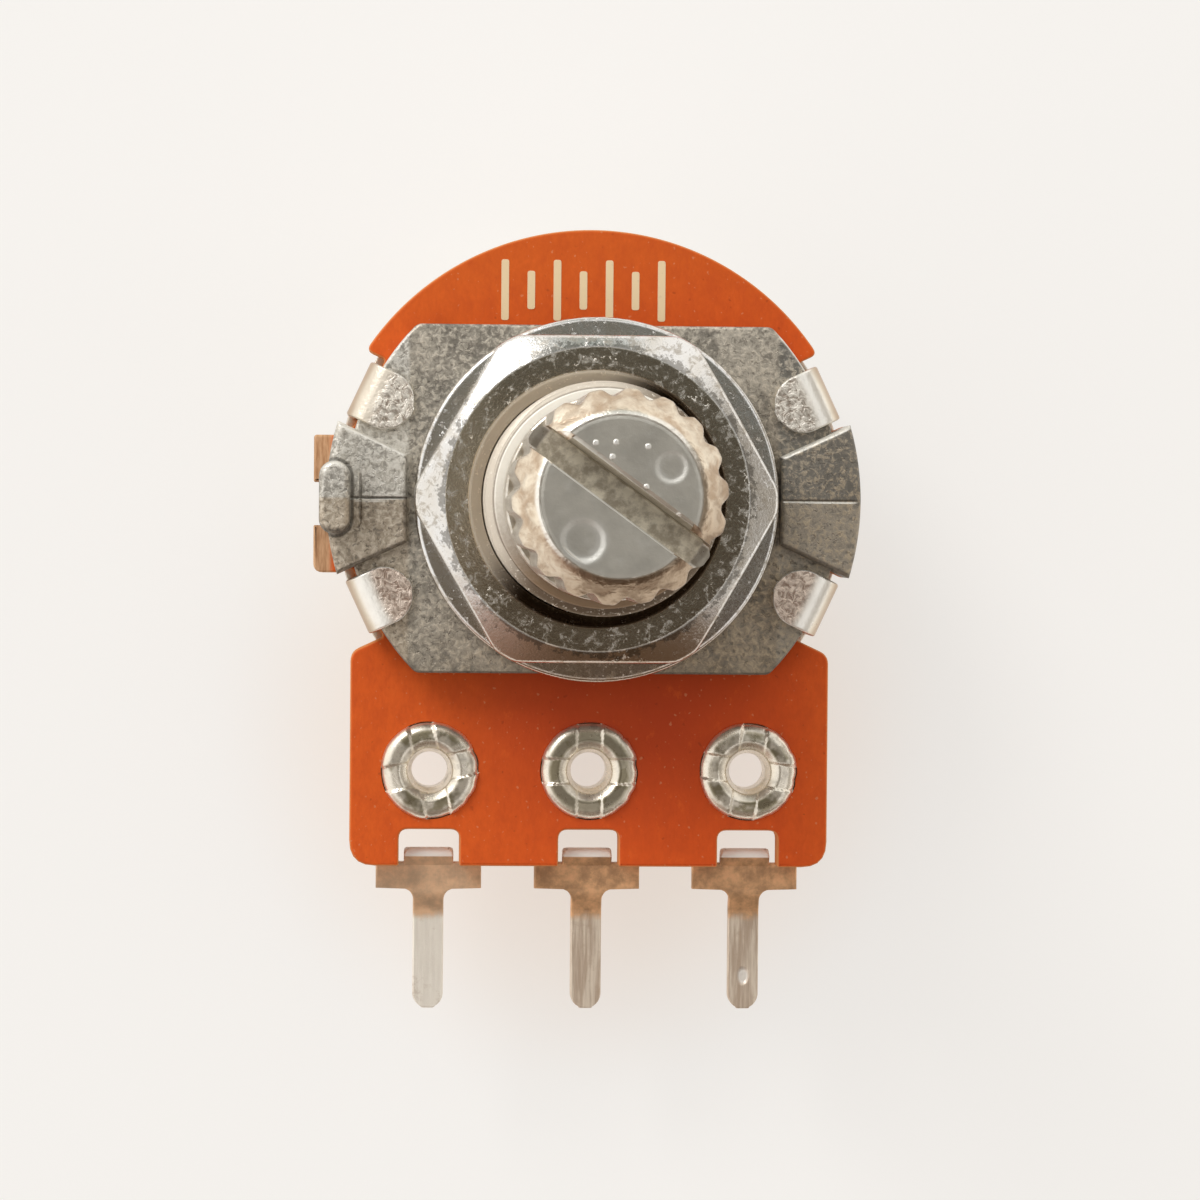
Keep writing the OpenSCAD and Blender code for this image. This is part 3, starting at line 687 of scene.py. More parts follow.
def turned_aluminium(rgb, head, tip, tip_h, top):
    """Turned aluminium: satin end with struck marks whose rims carry a painted highlight, a painted
    highlight round the end's edge at the left and top, a beige knurl with painted shade in its
    valleys and browner painted shade on the side of the pins, and a rough slot whose upper walls
    are painted dark as shade."""
    f = Finish("turned_aluminium")
    x, y, z = (f.part(axis) for axis in "XYZ")
    radius, deep, cone = f.reach(), top - z, top - tip_h
    grain = f.noise(11.0, 4.0, 0.65)
    cloud = f.noise(0.9, 3.0, 0.6)
    patch = f.noise(2.0, 3.0, 0.6, bend=0.3)
    inside = radius.window(tip - 0.18, tip - 0.24)
    end = z.window(top - 0.03, top - 0.008).high(inside * z.window(top - 0.12, top - 0.09))
    marks = dots = 0.0
    # The struck marks' rims carry a painted highlight, brighter on one side.
    for mx, my, r in MARKS:
        rim = abs(f.reach(mx, my, top) / r + patch * 0.25 - 0.98).window(0.42, 0.05)
        marks = marks + rim * r * (0.5 + (x - y).window(mx - my - r, mx - my + r))
    for mx, my in DOTS:
        dots = dots + (f.reach(mx, my, top) + grain * 0.06).window(0.13, 0.07)
    # Painted brown shade on the side of the pins.
    brown = (x * 0.45 - y + cloud * 1.2).window(0.6, 3.2)
    warm = f.coats(
        f.mix(patch.window(0.30, 0.70), (0.52, 0.40, 0.29), (0.86, 0.77, 0.63)),
        (brown * 0.75, f.mix(patch.window(0.4, 0.6), (0.20, 0.13, 0.08), (0.42, 0.30, 0.20)))
    )
    streak = f.noise(4.0, 3.0, 0.6, f.at(stretch=(1, 1, 0.12)))
    side = f.coats(
        f.mix(streak.window(0.35, 0.65), (0.62, 0.56, 0.47), (0.80, 0.75, 0.66)),
        # Painted shade in the knurl's valleys.
        (radius.window(head - 0.08, head - 0.2) * 0.5, (0.36, 0.31, 0.25)),
        (z.window(cone - 0.5, cone + 0.1), warm)
    )
    # Painted highlight round the end's edge, bright at the left and top and dark elsewhere.
    edge = abs(radius + patch * 0.12 - tip - 0.03).window(0.11, 0.03)
    edge = edge * z.window(top - 0.32, top - 0.2)
    lit = (y * 0.4 - x).window(0.2, 1.6).high((y + x * 0.25).window(1.0, 2.0))
    satin = f.coats(
        f.mix(cloud.window(0.3, 0.7), rgb, tint(rgb, 0.82)),
        (marks * 0.5 + patch.window(0.5, 0.75) * 0.15, (0.85, 0.84, 0.80)),
        (dots, (1.0, 0.98, 0.93))
    )
    # The slot's walls are painted dark as shade; its deep floor is lighter and rough.
    low = deep.window(tip_h + 0.1, tip_h + 0.3) * radius.window(2.7, 2.6)
    cut = (deep.window(0.09, 0.12) * inside).high(low)
    floor = f.noise(2.4, 4.0, 0.65).window(0.36, 0.64)
    floor = f.mix(low, (0.30, 0.26, 0.19), f.mix(floor, (0.38, 0.33, 0.25), (0.74, 0.68, 0.55)))
    tone = f.coats(
        side, (edge * 0.8, f.mix(lit, (0.34, 0.27, 0.20), (1.0, 0.97, 0.89))), (end, satin), (cut, floor)
    )
    waves = patch * z.window(cone - 0.5, cone) * (0.055 - end * 0.045)
    return f.done(
        base_color=tone, metallic=1.0 - cut * 0.7,
        roughness=0.24 + end * 0.12 + grain * 0.10 + cut * 0.3,
        normal=f.bump(grain * 0.006 + waves + dots * 0.02, 1.0)
    )


def laminate(rgb):
    """Phenolic paper board: warm orange towards its edges, redder and darker by the plate,
    with fine specks, a faint paper grain and pale punched edges."""
    f = Finish("phenolic_laminate")
    x = f.part("X")
    cloud = f.noise(0.5, 4.0, 0.6)
    grain = f.noise(8.0, 3.0, 0.6, f.at(stretch=(1, 0.45, 1)))
    speck = f.noise(6.5, 1.0, 0.4).window(0.70, 0.76)
    dark_speck = f.noise(4.5, 1.0, 0.4, f.at(x=30)).window(0.71, 0.78)
    mottle = f.noise(2.6, 5.0, 0.7, f.at(stretch=(1, 0.6, 1)))
    fibre = f.noise(9.0, 3.0, 0.7, f.at(stretch=(1, 0.12, 0.3)))
    centre = (f.reach(1.0, -6.0, stretch=(0.85, 0.95, 0)) / 5.8).window(1.0, 0.25)
    side = abs(f.facing()).window(0.97, 0.60)
    tone = f.coats(
        rgb,
        (x.window(5.0, -8.5) * 0.75 + cloud * 0.35 + x.window(5.8, 7.6) * 0.45,
         tint(rgb, 1.16, 1.50, 1.6)),
        (f.part("Y").window(3.5, 8.0) * 0.4, tint(rgb, 0.82, 1.5, 1.2)),
        (centre * (0.35 + cloud * 0.6), tint(rgb, 0.60, 0.42, 0.8)),
        (grain.window(0.3, 0.8) * 0.2, tint(rgb, 0.65)),
        (mottle.window(0.40, 0.70) * 0.3, tint(rgb, 0.72, 0.7, 1)),
        (mottle.window(0.42, 0.28) * 0.3, tint(rgb, 1.2, 1.7, 2)),
        (speck * 0.30, (0.72, 0.38, 0.20)),
        (dark_speck * 0.35, tint(rgb, 0.35)),
        (side * (0.45 + grain * 0.5), (0.66, 0.31, 0.11)),
        (x.window(-8.0, -8.25) * 0.9,
         f.mix(fibre.window(0.3, 0.7), (0.42, 0.24, 0.12), (0.70, 0.46, 0.27)))
    )
    return f.done(
        base_color=tone, roughness=0.5 + grain * 0.15 + side * 0.25,
        normal=f.bump(grain * 0.5 + cloud, 0.012), specular_ior_level=0.2
    )


def printed_ink(rgb):
    """Screen-printed ink: cream, matt, slightly worn."""
    f = Finish("printed_ink")
    wear = f.noise(6.0, 3.0, 0.6).window(0.60, 0.78)
    tone = f.mix(wear * 0.5, rgb, tint(rgb, 0.7))
    return f.done(base_color=tone, roughness=0.6, normal=f.bump(f.noise(10.0), 0.004))


def tinned_sheet(rgb, root, tongue):
    """Tinned terminal sheet: satin and tarnished, drawn along the pin, and darker at its root and down
    to the end of the joggle, partly its own colour and partly painted shade on the joggle's slope.
    The left terminal is painted lighter as painted light, the end of the tongue behind the board
    carries a painted highlight, and so does a dimple on the right pin."""
    f = Finish("tinned_sheet")
    x, y = f.part("X"), f.part("Y")
    cloud = f.noise(1.9, 4.0, 0.65)
    drawn = f.noise(5.0, 3.0, 0.6, f.at(stretch=(1.5, 0.10, 1)))
    grain = f.noise(12.0, 2.0, 0.6)
    # Painted light: the left terminal is lighter.
    left = x.window(-2.5, -4.0)
    body = f.coats(
        f.mix(cloud.window(0.30, 0.70), tint(rgb, 0.78), tint(rgb, 1.5)),
        (left * 0.35, (0.85, 0.66, 0.48))
    )
    pin = f.coats(
        f.mix(drawn.window(0.35, 0.65), (0.52, 0.40, 0.30), (0.78, 0.67, 0.54)),
        (left * 0.75, (1.0, 0.95, 0.85)), (cloud.window(0.55, 0.75) * 0.5, (0.46, 0.33, 0.23))
    )
    # Painted highlight on the end of the tongue.
    end = y.window(-tongue, -tongue + 0.05) * f.part("Z").window(-3.3, -3.2)
    # A dimple pressed into the right pin by the bump, with a painted highlight.
    dimple_and_painted_highlight = f.reach(5.0, -15.05, stretch=(1.6, 1.0, 0.0)).window(0.34, 0.16)
    # The darker body colour reaches past the root to the end of the joggle, painted shade on the joggle's
    # slope.
    tone = f.coats(
        body, ((y + cloud * 0.4).window(-root - 0.55, -root - 0.85), pin),
        (end, (1.0, 0.98, 0.92)), (dimple_and_painted_highlight * 0.7, (0.95, 0.92, 0.86))
    )
    return f.done(
        base_color=tone, metallic=0.45 - end * 0.45, roughness=0.30 + cloud * 0.18,
        normal=f.bump(drawn * 1.2 + grain * 0.4 + cloud * 1.4 - dimple_and_painted_highlight * 4.0, 0.016)
    )


def bright_tin(rgb):
    """Bright tin on the eyelets: mirror-like rims, darker olive in blotches on the flat, upward-facing
    parts, and over the flat parts of the centre eyelet.
    """
    f = Finish("bright_tin")
    cloud = f.noise(2.4, 4.0, 0.65)
    grain = f.noise(14.0, 3.0, 0.6)
    olive = f.noise(1.2, 3.0, 0.6, f.at(y=4)).window(0.45, 0.60)
    olive = olive.high(abs(f.part("X")).window(2.4, 1.4) * 0.8)
    tone = f.coats(
        rgb, (cloud.window(0.46, 0.74) * 0.8, tint(rgb, 0.55)),
        (olive * f.facing().window(0.90, 0.98) * 0.85, (0.24, 0.20, 0.11))
    )
    return f.done(
        base_color=tone, metallic=0.85, roughness=0.18 + cloud * 0.16 + grain * 0.06,
        normal=f.bump(grain * 0.5 + cloud, 0.009)
    )


def drawn_tinplate(rgb, outer):
    """Tinplate of the cover: satin and warm, with a mottled crimped face on the tabs whose light and
    dark mottle is partly painted reflection, pinker on the lower tabs as a painted reflection. The
    face's rounded borders and the rolls carry painted highlights, and the rolls' outer sides a
    painted brown reflection of the board.
    """
    f = Finish("drawn_tinplate")
    x, y, z, radius = f.part("X"), f.part("Y"), f.part("Z"), f.reach()
    cloud = f.noise(1.2, 4.0, 0.6)
    crimp = f.noise(4.6, 4.0, 0.7, bend=0.8)
    grain = f.noise(13.0, 2.0, 0.6)
    face = z.window(-0.45, -0.28) * radius.window(outer - 0.55, outer - 0.90)
    # Light and dark mottle of the crimped face, partly painted reflection; the lower tabs get a pinker
    # painted reflection.
    mottled = f.coats(
        f.mix(crimp.window(0.36, 0.62), (0.26, 0.21, 0.17), (0.92, 0.88, 0.80)),
        (y.window(0.5, -1.0) * 0.7,
         f.mix(crimp.window(0.34, 0.66), (0.22, 0.11, 0.07), (0.90, 0.72, 0.60)))
    )
    # Painted highlight along the rolls of the lower and right tabs.
    roll = z.window(-1.3, -1.0) * (1.0 - face) * y.window(-1.0, -2.0).high(x.window(0.0, 2.0))
    tone = f.coats(
        rgb, (cloud.window(0.35, 0.75) * 0.5, tint(rgb, 0.75)), (face * 0.85, mottled),
        # Painted highlight on the face's rounded borders, and painted brown reflection of the board on the
        # rolls' outer sides.
        (face * f.facing().window(0.94, 0.75) * 0.85, (1.0, 0.98, 0.93)),
        (radius.window(outer - 0.22, outer) * z.window(-1.4, -0.9) * 0.7, (0.50, 0.33, 0.20)),
        (roll * radius.window(outer - 0.15, outer - 0.3) * 0.8, (1.0, 0.98, 0.92))
    )
    return f.done(
        base_color=tone, metallic=0.85, roughness=0.24 + cloud * 0.10 + face * crimp * 0.15,
        normal=f.bump(grain * 0.15 + cloud * 0.6 + crimp * face * 1.6, 0.04)
    )


def hidden(name, scale, detail, span, one, other, metallic, rough, rise, depth):
    """Finish of an inner piece: one noise, spread by span where it has one, mixes two colours,
    adds its rise to the roughness and gives the grain its depth."""
    f = Finish(name)
    grain = f.noise(scale, detail, 0.6)
    tone = f.mix(grain.window(*span) if span else grain, one, other)
    return f.done(
        base_color=tone, metallic=metallic, roughness=grain * rise + rough if rise else rough,
        normal=f.bump(grain, depth)
    )


INNER = {
    "retaining_ring": ("spring_steel_ring", 11.0, 3.0, (0.3, 0.7), (0.20, 0.20, 0.21),
                       (0.36, 0.36, 0.37), 1.0, 0.32, 0.0, 0.004),
    "carbon_track": ("carbon_track_ink", 18.0, 3.0, None, (0.012, 0.012, 0.013),
                     (0.05, 0.05, 0.05), 0.0, 0.62, 0.0, 0.004),
    "silver_tracks": ("silver_lead_ink", 16.0, 3.0, (0.3, 0.7), (0.55, 0.55, 0.55),
                      (0.75, 0.75, 0.74), 0.8, 0.5, 0.0, 0.005),
    "rotor": ("moulded_resin", 15.0, 2.0, None, (0.018, 0.018, 0.020),
              (0.045, 0.045, 0.048), 0.0, 0.5, 0.1, 0.006),
    "wiper_spring": ("phosphor_bronze", 3.0, 3.0, (0.3, 0.7), (0.72, 0.45, 0.20),
                     (0.52, 0.30, 0.13), 1.0, 0.28, 0.1, 0.006),
}


# ---------------------------------------------------------------- the pieces

def sizes(group, names):
    """The sizes of a group that a line names, in millimetres."""
    return [getattr(group, name) * MM for name in names.split()]


def spans(*nodes):
    """Lowest and highest height of each node of the frame, in millimetres."""
    return [tuple(round(corner.z * MM, 4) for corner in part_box(node)) for node in nodes]


def around(count):
    """Angles of a full turn."""
    return np.linspace(0, TURN, count + 1)[:-1]


def columns(r, z):
    """Points (radius, height) over rows and angles."""
    return np.stack(np.broadcast_arrays(r, z), -1)


def circle(r, count=96, x=0.0, y=0.0):
    """Counterclockwise circle."""
    return arc(x, y, r, 0, 360, count + 1)[:-1]


def spread(count, border, inner):
    """Places from 0 to 1: close together within a border at each end, wider between."""
    return np.unique(np.concatenate((
        np.linspace(0, border, inner), np.linspace(border, 1 - border, count),
        np.linspace(1 - border, 1, inner)
    )))


def bell(distance, width):
    """exp(-(distance / width)^2): 1 in the middle, and falling off smoothly to both sides."""
    return np.exp(-(distance / width) ** 2)


def ear(c, base_low, crossed=False):
    """Raised ear as a patch between its straight inner edge and its outer arc:
    p = (1 - t) inner(s) + t outer(s). Its top falls by a quarter circle near the border, and
    its two halves slope a little to both sides of a seam along its middle. A second seam may
    cross it. Each seam is a bell-shaped groove."""
    end_r, gap = sizes(c, "ear_r ear_gap")
    gap, half = gap / 2, math.radians(TAB_TURN)
    edge, channel_half, camber, flank = 0.17, 1.2, 0.012, 0.6
    seam_depth, seam_w = 0.05, 0.035
    cross_depth, cross_w, cross_x, cross_half = 0.04, 0.04, 7.22, 0.85
    side = half - math.asin(channel_half / end_r)
    inner_half = (gap - channel_half / math.sin(half)) * math.tan(half)
    fine = np.array([0.0, 0.006, 0.012, 0.018, 0.03])
    cross_t = (cross_x - gap) / (end_r - gap)
    s = np.union1d(spread(26, 0.09, 7), np.concatenate((0.5 - fine, 0.5 + fine)))
    t = np.union1d(
        spread(18, 0.10, 7), np.concatenate((cross_t - 1.6 * fine, cross_t + 1.6 * fine))
    )
    a = blend(-side, side, s)
    inner = np.stack((np.full_like(s, gap), blend(-inner_half, inner_half, s)), -1)
    outer = end_r * np.stack((np.cos(a), np.sin(a)), -1)
    p = blend(inner[None], outer[None], t[:, None, None])
    x, y = p[..., 0], p[..., 1]
    d = np.minimum.reduce((
        x - gap, (end_r - np.hypot(x, y)) * flank,
        x * math.sin(half) - abs(y) * math.cos(half) - channel_half
    )) / edge
    fall = edge * (1 - np.sqrt(np.clip(1 - (1 - np.clip(d, 0, 1)) ** 2, 0, 1)))
    seam = seam_depth * bell(y, seam_w)
    if crossed:
        cross = cross_depth * bell(x - cross_x, cross_w) * ease((cross_half - abs(y)) / 0.2)
        seam = np.maximum(seam, cross)
    top = np.dstack((p, -fall - camber * np.clip(abs(y), 0, 1.2) - seam * ease(d)))
    rim = np.concatenate((top[0, :-1], top[:-1, -1], top[-1, :0:-1], top[:0:-1, 0]))
    foot = rim.copy()
    foot[:, 2] = base_low
    shell = Shell().grid(top, closed=(False, False)).grid(np.stack((foot, rim)))
    return shell.cap([foot], (0, 0, -1))


class POT_OT_casting(Operator):
    """Casting: front plate, two ears, lug and threaded bushing"""
    bl_idname = "potentiometer.casting"
    bl_label = "Casting"

    def execute(self, context):
        c = context.scene.pot_casting
        (low, _), = spans("bushing_plate")
        end_r, flats, face, thread_d, pitch, top, bore_d = sizes(
            c, "end_r flats low_face thread_d thread_pitch thread_top bore_d"
        )
        half, crest, bore = flats / 2, thread_d / 2, bore_d / 2
        turn = math.degrees(math.asin(half / end_r))
        corner = math.sqrt(end_r ** 2 - half ** 2)
        clear, corner_r, hole_r = 4, 0.35, 3.0
        right, left = (arc(0, 0, end_r, k - turn + clear, k + turn - clear, 40) for k in (0, 180))
        outline = np.vstack((
            right, [[corner, half], [-corner, half]], left, [[-corner, -half], [corner, -half]]
        ))
        outline = rounded(outline, corner_r * (abs(outline[:, 1]) == half))
        x, height, long, wide = sizes(c, "lug_x lug_h lug_len lug_w")
        r, straight = wide / 2, (long - wide) / 2
        lug = np.vstack((arc(-x, straight, r, 0, 180, 17), arc(-x, -straight, r, 180, 360, 17)))

        a, end, foot_r, foot = around(144), top - 0.05, 3.2, low + 0.2
        steep, land, end_cut = 1.35, 0.12, 0.22
        z = np.linspace(0.1 - face, end, 125)[:, None]
        phase = (z / pitch - a / TURN) % 1
        groove = THREAD_DEPTH * pitch * np.clip(abs(2 * phase - 1) * steep - land, 0, 1)
        r = np.minimum(crest - groove * ease((z + 0.1) / 0.3), crest - end_cut + (end - z) * 0.8)
        rest = all_round(
            [[crest - 0.24, top], [bore, top], [bore, foot], [foot_r, foot], [foot_r, 0.05 - face]], a
        )
        thread = np.concatenate((columns(r, z), rounded_rows(rest, (0.05, 0.06, 0, 0, 0))))

        zinc, seamed = cast_zinc(c.zinc), cast_zinc(c.zinc, True)
        for name, shell, finish in (
            ("front_plate", Shell().slab([outline, circle(hole_r)[::-1]], low, -face, 0.1, 0.1), zinc),
            ("right_ear", ear(c, low), zinc),
            ("left_ear", ear(c, low, True).place(turn=180), seamed),
            ("locating_lug", Shell().slab([lug], low, height, 0.05, 0.2), seamed),
            ("threaded_bushing", Shell().spin(thread, a), worn_thread(c.worn, top))
        ):
            shell.made(name, "bushing_plate", "housing", "zinc", finish)
        return {"FINISHED"}


class POT_OT_fasteners(Operator):
    """Hexagon nut with chamfered corners, and the flat washer under it"""
    bl_idname = "potentiometer.fasteners"
    bl_label = "Nut and washer"

    def execute(self, context):
        c = context.scene.pot_fasteners
        (washer_low, washer_high), (low, high) = spans("washer", "hex_nut")
        flats, bar_d, face_d, bore_d = sizes(c, "flats bar_d face_d bore_d")
        washer_d, washer_bore, shift = sizes(c, "washer_d washer_bore washer_shift")
        face, bore, outer, hole = face_d / 2, bore_d / 2, washer_d / 2, washer_bore / 2

        a, soft, mouth, chamfer = around(192), 0.03, 0.35, math.radians(30)
        flat = (flats / 2) / np.cos(a % (math.pi / 3) - math.pi / 6)
        r = -soft * np.log(np.exp(-flat / soft) + np.exp(-bar_d / 2 / soft))
        bevel = (r - face) * math.tan(chamfer)
        corners = [columns(r_k + 0 * a, z_k) for r_k, z_k in (
            (face, low), (r, low + bevel), (r, high - bevel), (face, high),
            (bore + mouth, high), (bore, high - mouth), (bore, low + mouth), (bore + mouth, low)
        )]
        profile = rounded_rows(corners, (0.06, 0.12, 0.12, 0.06, 0.08, 0.05, 0.05, 0.08), 5)
        Shell().spin(profile, a).made(
            "hex_nut_plated", "hex_nut", "nut_body", "nut_steel",
            nickel("nut_nickel", c.plating, 0.006, 0.11, bore + mouth + 0.2))

        a = around(160)
        corners = [[outer, washer_low], [outer, washer_high - 0.04], [hole, washer_high],
                   [hole, washer_low]]
        profile = rounded_rows(all_round(corners, a), (0.06, 0.16, 0.08, 0.05), 6)
        Shell().spin(profile, a).place(x=shift).made(
            "flat_washer", "washer", "washer_body", "washer_steel",
            nickel("washer_nickel", c.plating, 0.005, 0.13))
        return {"FINISHED"}


class POT_OT_shaft(Operator):
    """Turned shaft: plain collar, knurled head with a chamfered end, and a screwdriver slot"""
    bl_idname = "potentiometer.shaft"
    bl_label = "Shaft"

    def execute(self, context):
        c = context.scene.pot_shaft
        head_d, head_z, knurl_z, top, tooth, tip_d, tip_h, slot_w, slot_depth = sizes(
            c, "head_d head_z knurl_z top_z tooth_depth tip_d tip_h slot_w slot_depth"
        )
        (low, _), = spans("shaft")
        head, tip, cone = head_d / 2, tip_d / 2, top - tip_h
        root, flat = head - tooth - 0.05, tip - 0.2
        a = around(c.teeth * 16)
        blunt, share, hollow = 0.62, 0.8, 1.3
        ridge = np.clip(blunt + blunt * np.cos(c.teeth * (a - c.slot_turn)), 0, 1)
        knurl = head - share * tooth * (1 - ridge) ** hollow
        z = np.concatenate((
            np.linspace(knurl_z, knurl_z + tooth, 5),
            np.linspace(knurl_z + tooth, cone - 0.05, 7)[1:], np.linspace(cone, top - 0.2, 12)
        ))[:, None]
        bevel = blend(head + 0.05, tip, (z - top + tip_h) / tip_h)
        runout = np.maximum(root + (z - knurl_z) * 1.2, root)
        wall = columns(np.minimum(np.minimum(knurl, bevel), runout), z)
        rivet, neck, body_r, ring_z, lip_z = 1.2, 1.7, 2.25, -2.65, low + 0.35
        lower = rounded_rows(all_round([
            [rivet, low], [1.85, low], [2.15, lip_z], [neck, lip_z], [neck, ring_z],
            [body_r, ring_z], [body_r, head_z], [head, head_z], [head, knurl_z], [root, knurl_z]
        ], a), (0, 0, 0, 0, 0, 0, 0.03, 0.08, 0.08, 0))
        edge = curve(wall[-1, 0], [tip, top], [flat, top], np.linspace(0, 1, 6)[1:, None])
        r = np.linspace(flat, 0.03, 54)[1:, None] + 0 * a
        bowl, depth, rim, wide = 0.0, 0.075, 1.08, 0.36
        for x, y, size in MARKS:
            away = np.hypot(r * np.cos(a) - x, r * np.sin(a) - y) / size
            bowl = bowl + depth * size * ease((rim - away) / wide)
        profile = np.concatenate((lower, wall, all_round(edge, a), columns(r, top - bowl)))
        body = Shell().spin(profile, a, caps=True).made(
            "knurled_shaft", "shaft", "spindle", "shaft_aluminium",
            turned_aluminium(c.metal, head, tip, tip_h, top))

        half, lip, flare, over = slot_w / 2, 0.05, 0.22, 0.5
        section = rounded(
            [[-half, top - slot_depth], [half, top - slot_depth], [half, top - flare],
             [half + flare + over, top + over], [-half - lip - over, top + over], [-half, top - lip]],
            (0.1, 0.1, 0, 0, 0, 0)
        )
        p = np.stack([np.column_stack((np.full(len(section), x), section)) for x in (-head_d, head_d)])
        cutter = Shell().grid(p).cap([p[0]], (-1, 0, 0)).cap([p[-1]], (1, 0, 0))
        cutter = cutter.place(turn=math.degrees(c.slot_turn)).made(
            "slot_cutter", None, "spindle", "shaft_aluminium", body.data.materials[0])
        carve(body, cutter)
        body.data.set_sharp_from_angle(angle=math.radians(32))
        facing = np.zeros(len(body.data.polygons) * 3)
        body.data.polygons.foreach_get("normal", facing)
        level = abs(facing.reshape(-1, 3)[:, 2]) > 0.9999
        body.data.polygons.foreach_set("use_smooth", ~level)
        return {"FINISHED"}


def board_outline(b, pitch):
    """Board's outline, counterclockwise: a round top, square sides with round corners, four
    channels for the tabs, two prongs on both sides of the lug and three notches below."""
    r, width, low, corner_r, notch_w, notch_depth, channel, side, prong = sizes(
        b, "round_r width low corner_r notch_w notch_depth channel set_back prong"
    )
    half, h, turn = width / 2, channel / 2, TAB_TURN
    seat, middle, tall, gap, small, mouth_r = 7.7, -0.18, 2.15, 0.675, 0.12, 0.2
    clear = math.degrees(math.asin(h / r)) + 2
    mouth = math.sqrt(r * r - h * h)
    tangent, drop = math.tan(math.radians(turn)), h / math.cos(math.radians(turn))
    shoulder, cut_y = -(drop + half * tangent), side * tangent - drop
    points, radii = [], []

    def run(p, radius=0.0):
        p = np.atleast_2d(p)
        points.append(p)
        radii.append(np.broadcast_to(radius, len(p)))

    def channel_at(angle):
        return turned([[mouth, -h], [seat, -h], [seat, h], [mouth, h]], angle)
    run(arc(0, 0, r, clear - turn, turn - clear, 20))
    run(channel_at(turn), (mouth_r, small, small, mouth_r))
    run(arc(0, 0, r, turn + clear, 180 - turn - clear, 70))
    run(channel_at(180 - turn)[:3], (mouth_r, small, small))
    run([[-side, cut_y], [-side, middle + tall], [-prong, middle + tall], [-prong, middle + gap],
         [-seat, middle + gap], [-seat, middle - gap], [-prong, middle - gap],
         [-prong, middle - tall], [-side, middle - tall], [-side, -cut_y]],
        (0.05, 0.05, 0.1, 0.05, 0.1, 0.1, 0.05, 0.3, 0.05, 0.05))
    run(channel_at(180 + turn)[1:3], small)
    run([[-half, shoulder], [-half, -low]], (0.45, corner_r))
    for x in (-pitch, 0, pitch):
        start, end, deep = x - notch_w / 2, x + notch_w / 2, notch_depth - low
        run([[start, -low], [start, deep], [end, deep], [end, -low]], (0.08, 0.3, 0.3, 0.08))
    run([[half, -low], [half, shoulder]], (corner_r, 0.45))
    run(channel_at(-turn)[1:], (small, small, mouth_r))
    return rounded(np.vstack(points), np.concatenate(radii), 6)


class POT_OT_board(Operator):
    """Phenolic board with its punched outline, and the printed marks on its face"""
    bl_idname = "potentiometer.board"
    bl_label = "Board"

    def execute(self, context):
        b = context.scene.pot_board
        (low, high), = spans("wafer")
        pitch, row = sizes(context.scene.pot_contacts, "pitch eyelet_y")
        shaft_hole = circle(2.6)[::-1]
        holes = [circle(BARREL, 48, x, -row)[::-1] for x in (-pitch, 0, pitch)]
        Shell().slab([board_outline(b, pitch), shaft_hole, *holes], low, high, 0.04, 0.09).made(
            "phenolic_board", "wafer", "housing", "phenolic", laminate(b.laminate))

        marks, w, y, first, last = Shell(), 0.12, 6.55, -2.75, 2.15
        for k, x in enumerate(np.linspace(first, last, 7)):
            h = (0.95, 0.6)[k % 2]
            bar = rounded([[x - w, y - h], [x + w, y - h], [x + w, y + h], [x - w, y + h]], 0.08)
            marks.slab([bar], high - 0.005, high + 0.015, 0.003, 0.006)
        marks.made("printed_marks", None, "housing", "phenolic", printed_ink(b.ink))
        return {"FINISHED"}


def eyelet_shell(k, turn, seed, front, back):
    """Eyelet round its own axis. Its front rises from the rim along a quarter ellipse to a
    flat, falls into the funnel and goes down the hole. Four pressed bands lie a step lower
    and lean outwards. Then it goes out under the rolled end and up the barrel."""
    outer, hole, funnel = (d / 2 for d in sizes(k, "eyelet_d hole_d funnel_d"))
    rise, flat, lip, throat = 0.28, 1.20, funnel + 0.06, funnel - 0.22
    band_half, band_step, band_lean = 0.42, 0.035, 0.16
    roll_r, roll, barrel = 1.5, back + 0.2, 1.15
    a = around(144)
    rim = outer - 0.02 + 0.012 * ripple(a, seed)
    rim = rim + 0.03 * np.clip(ripple(a, seed + 1, ((11, 0.5), (19, 0.5))), -1, 0.3) * ease(np.cos(a))
    q = np.linspace(0.08, QUARTER, 10)[:, None]
    t = np.linspace(0, 1, 9)[1:, None]
    face = np.concatenate([columns(r, z + 0 * a) for r, z in (
        (rim[None], 0), (flat + (rim - flat) * np.cos(q), rise * np.sin(q)),
        (blend(flat, lip, t) + 0 * a, rise), (blend(lip, throat, t) + 0 * a, rise - 0.17 * t ** 1.6)
    )])
    r, z = face[..., 0], face[..., 1]
    towards = a - math.radians(turn)
    off = r * np.minimum(abs(np.cos(towards)), abs(np.sin(towards)))
    band = ease((band_half - off) / 0.05)
    z = z - (band_step + band_lean * np.clip(r - 1.0, 0, 1)) * band * ease(z / 0.1)
    t = np.linspace(0, 1, 7)[1:, None]
    down = columns(blend(throat, hole, t), blend(z[-1:], -0.5, t ** 0.8))
    tail = all_round([[hole, back + 0.1], [hole + 0.06, back], [1.38, back], [roll_r, back + 0.08],
                      [roll_r, roll], [barrel, roll], [barrel, front]], a)
    return Shell().spin(np.concatenate((np.concatenate((columns(r, z), down)) + [0, front], tail)), a)


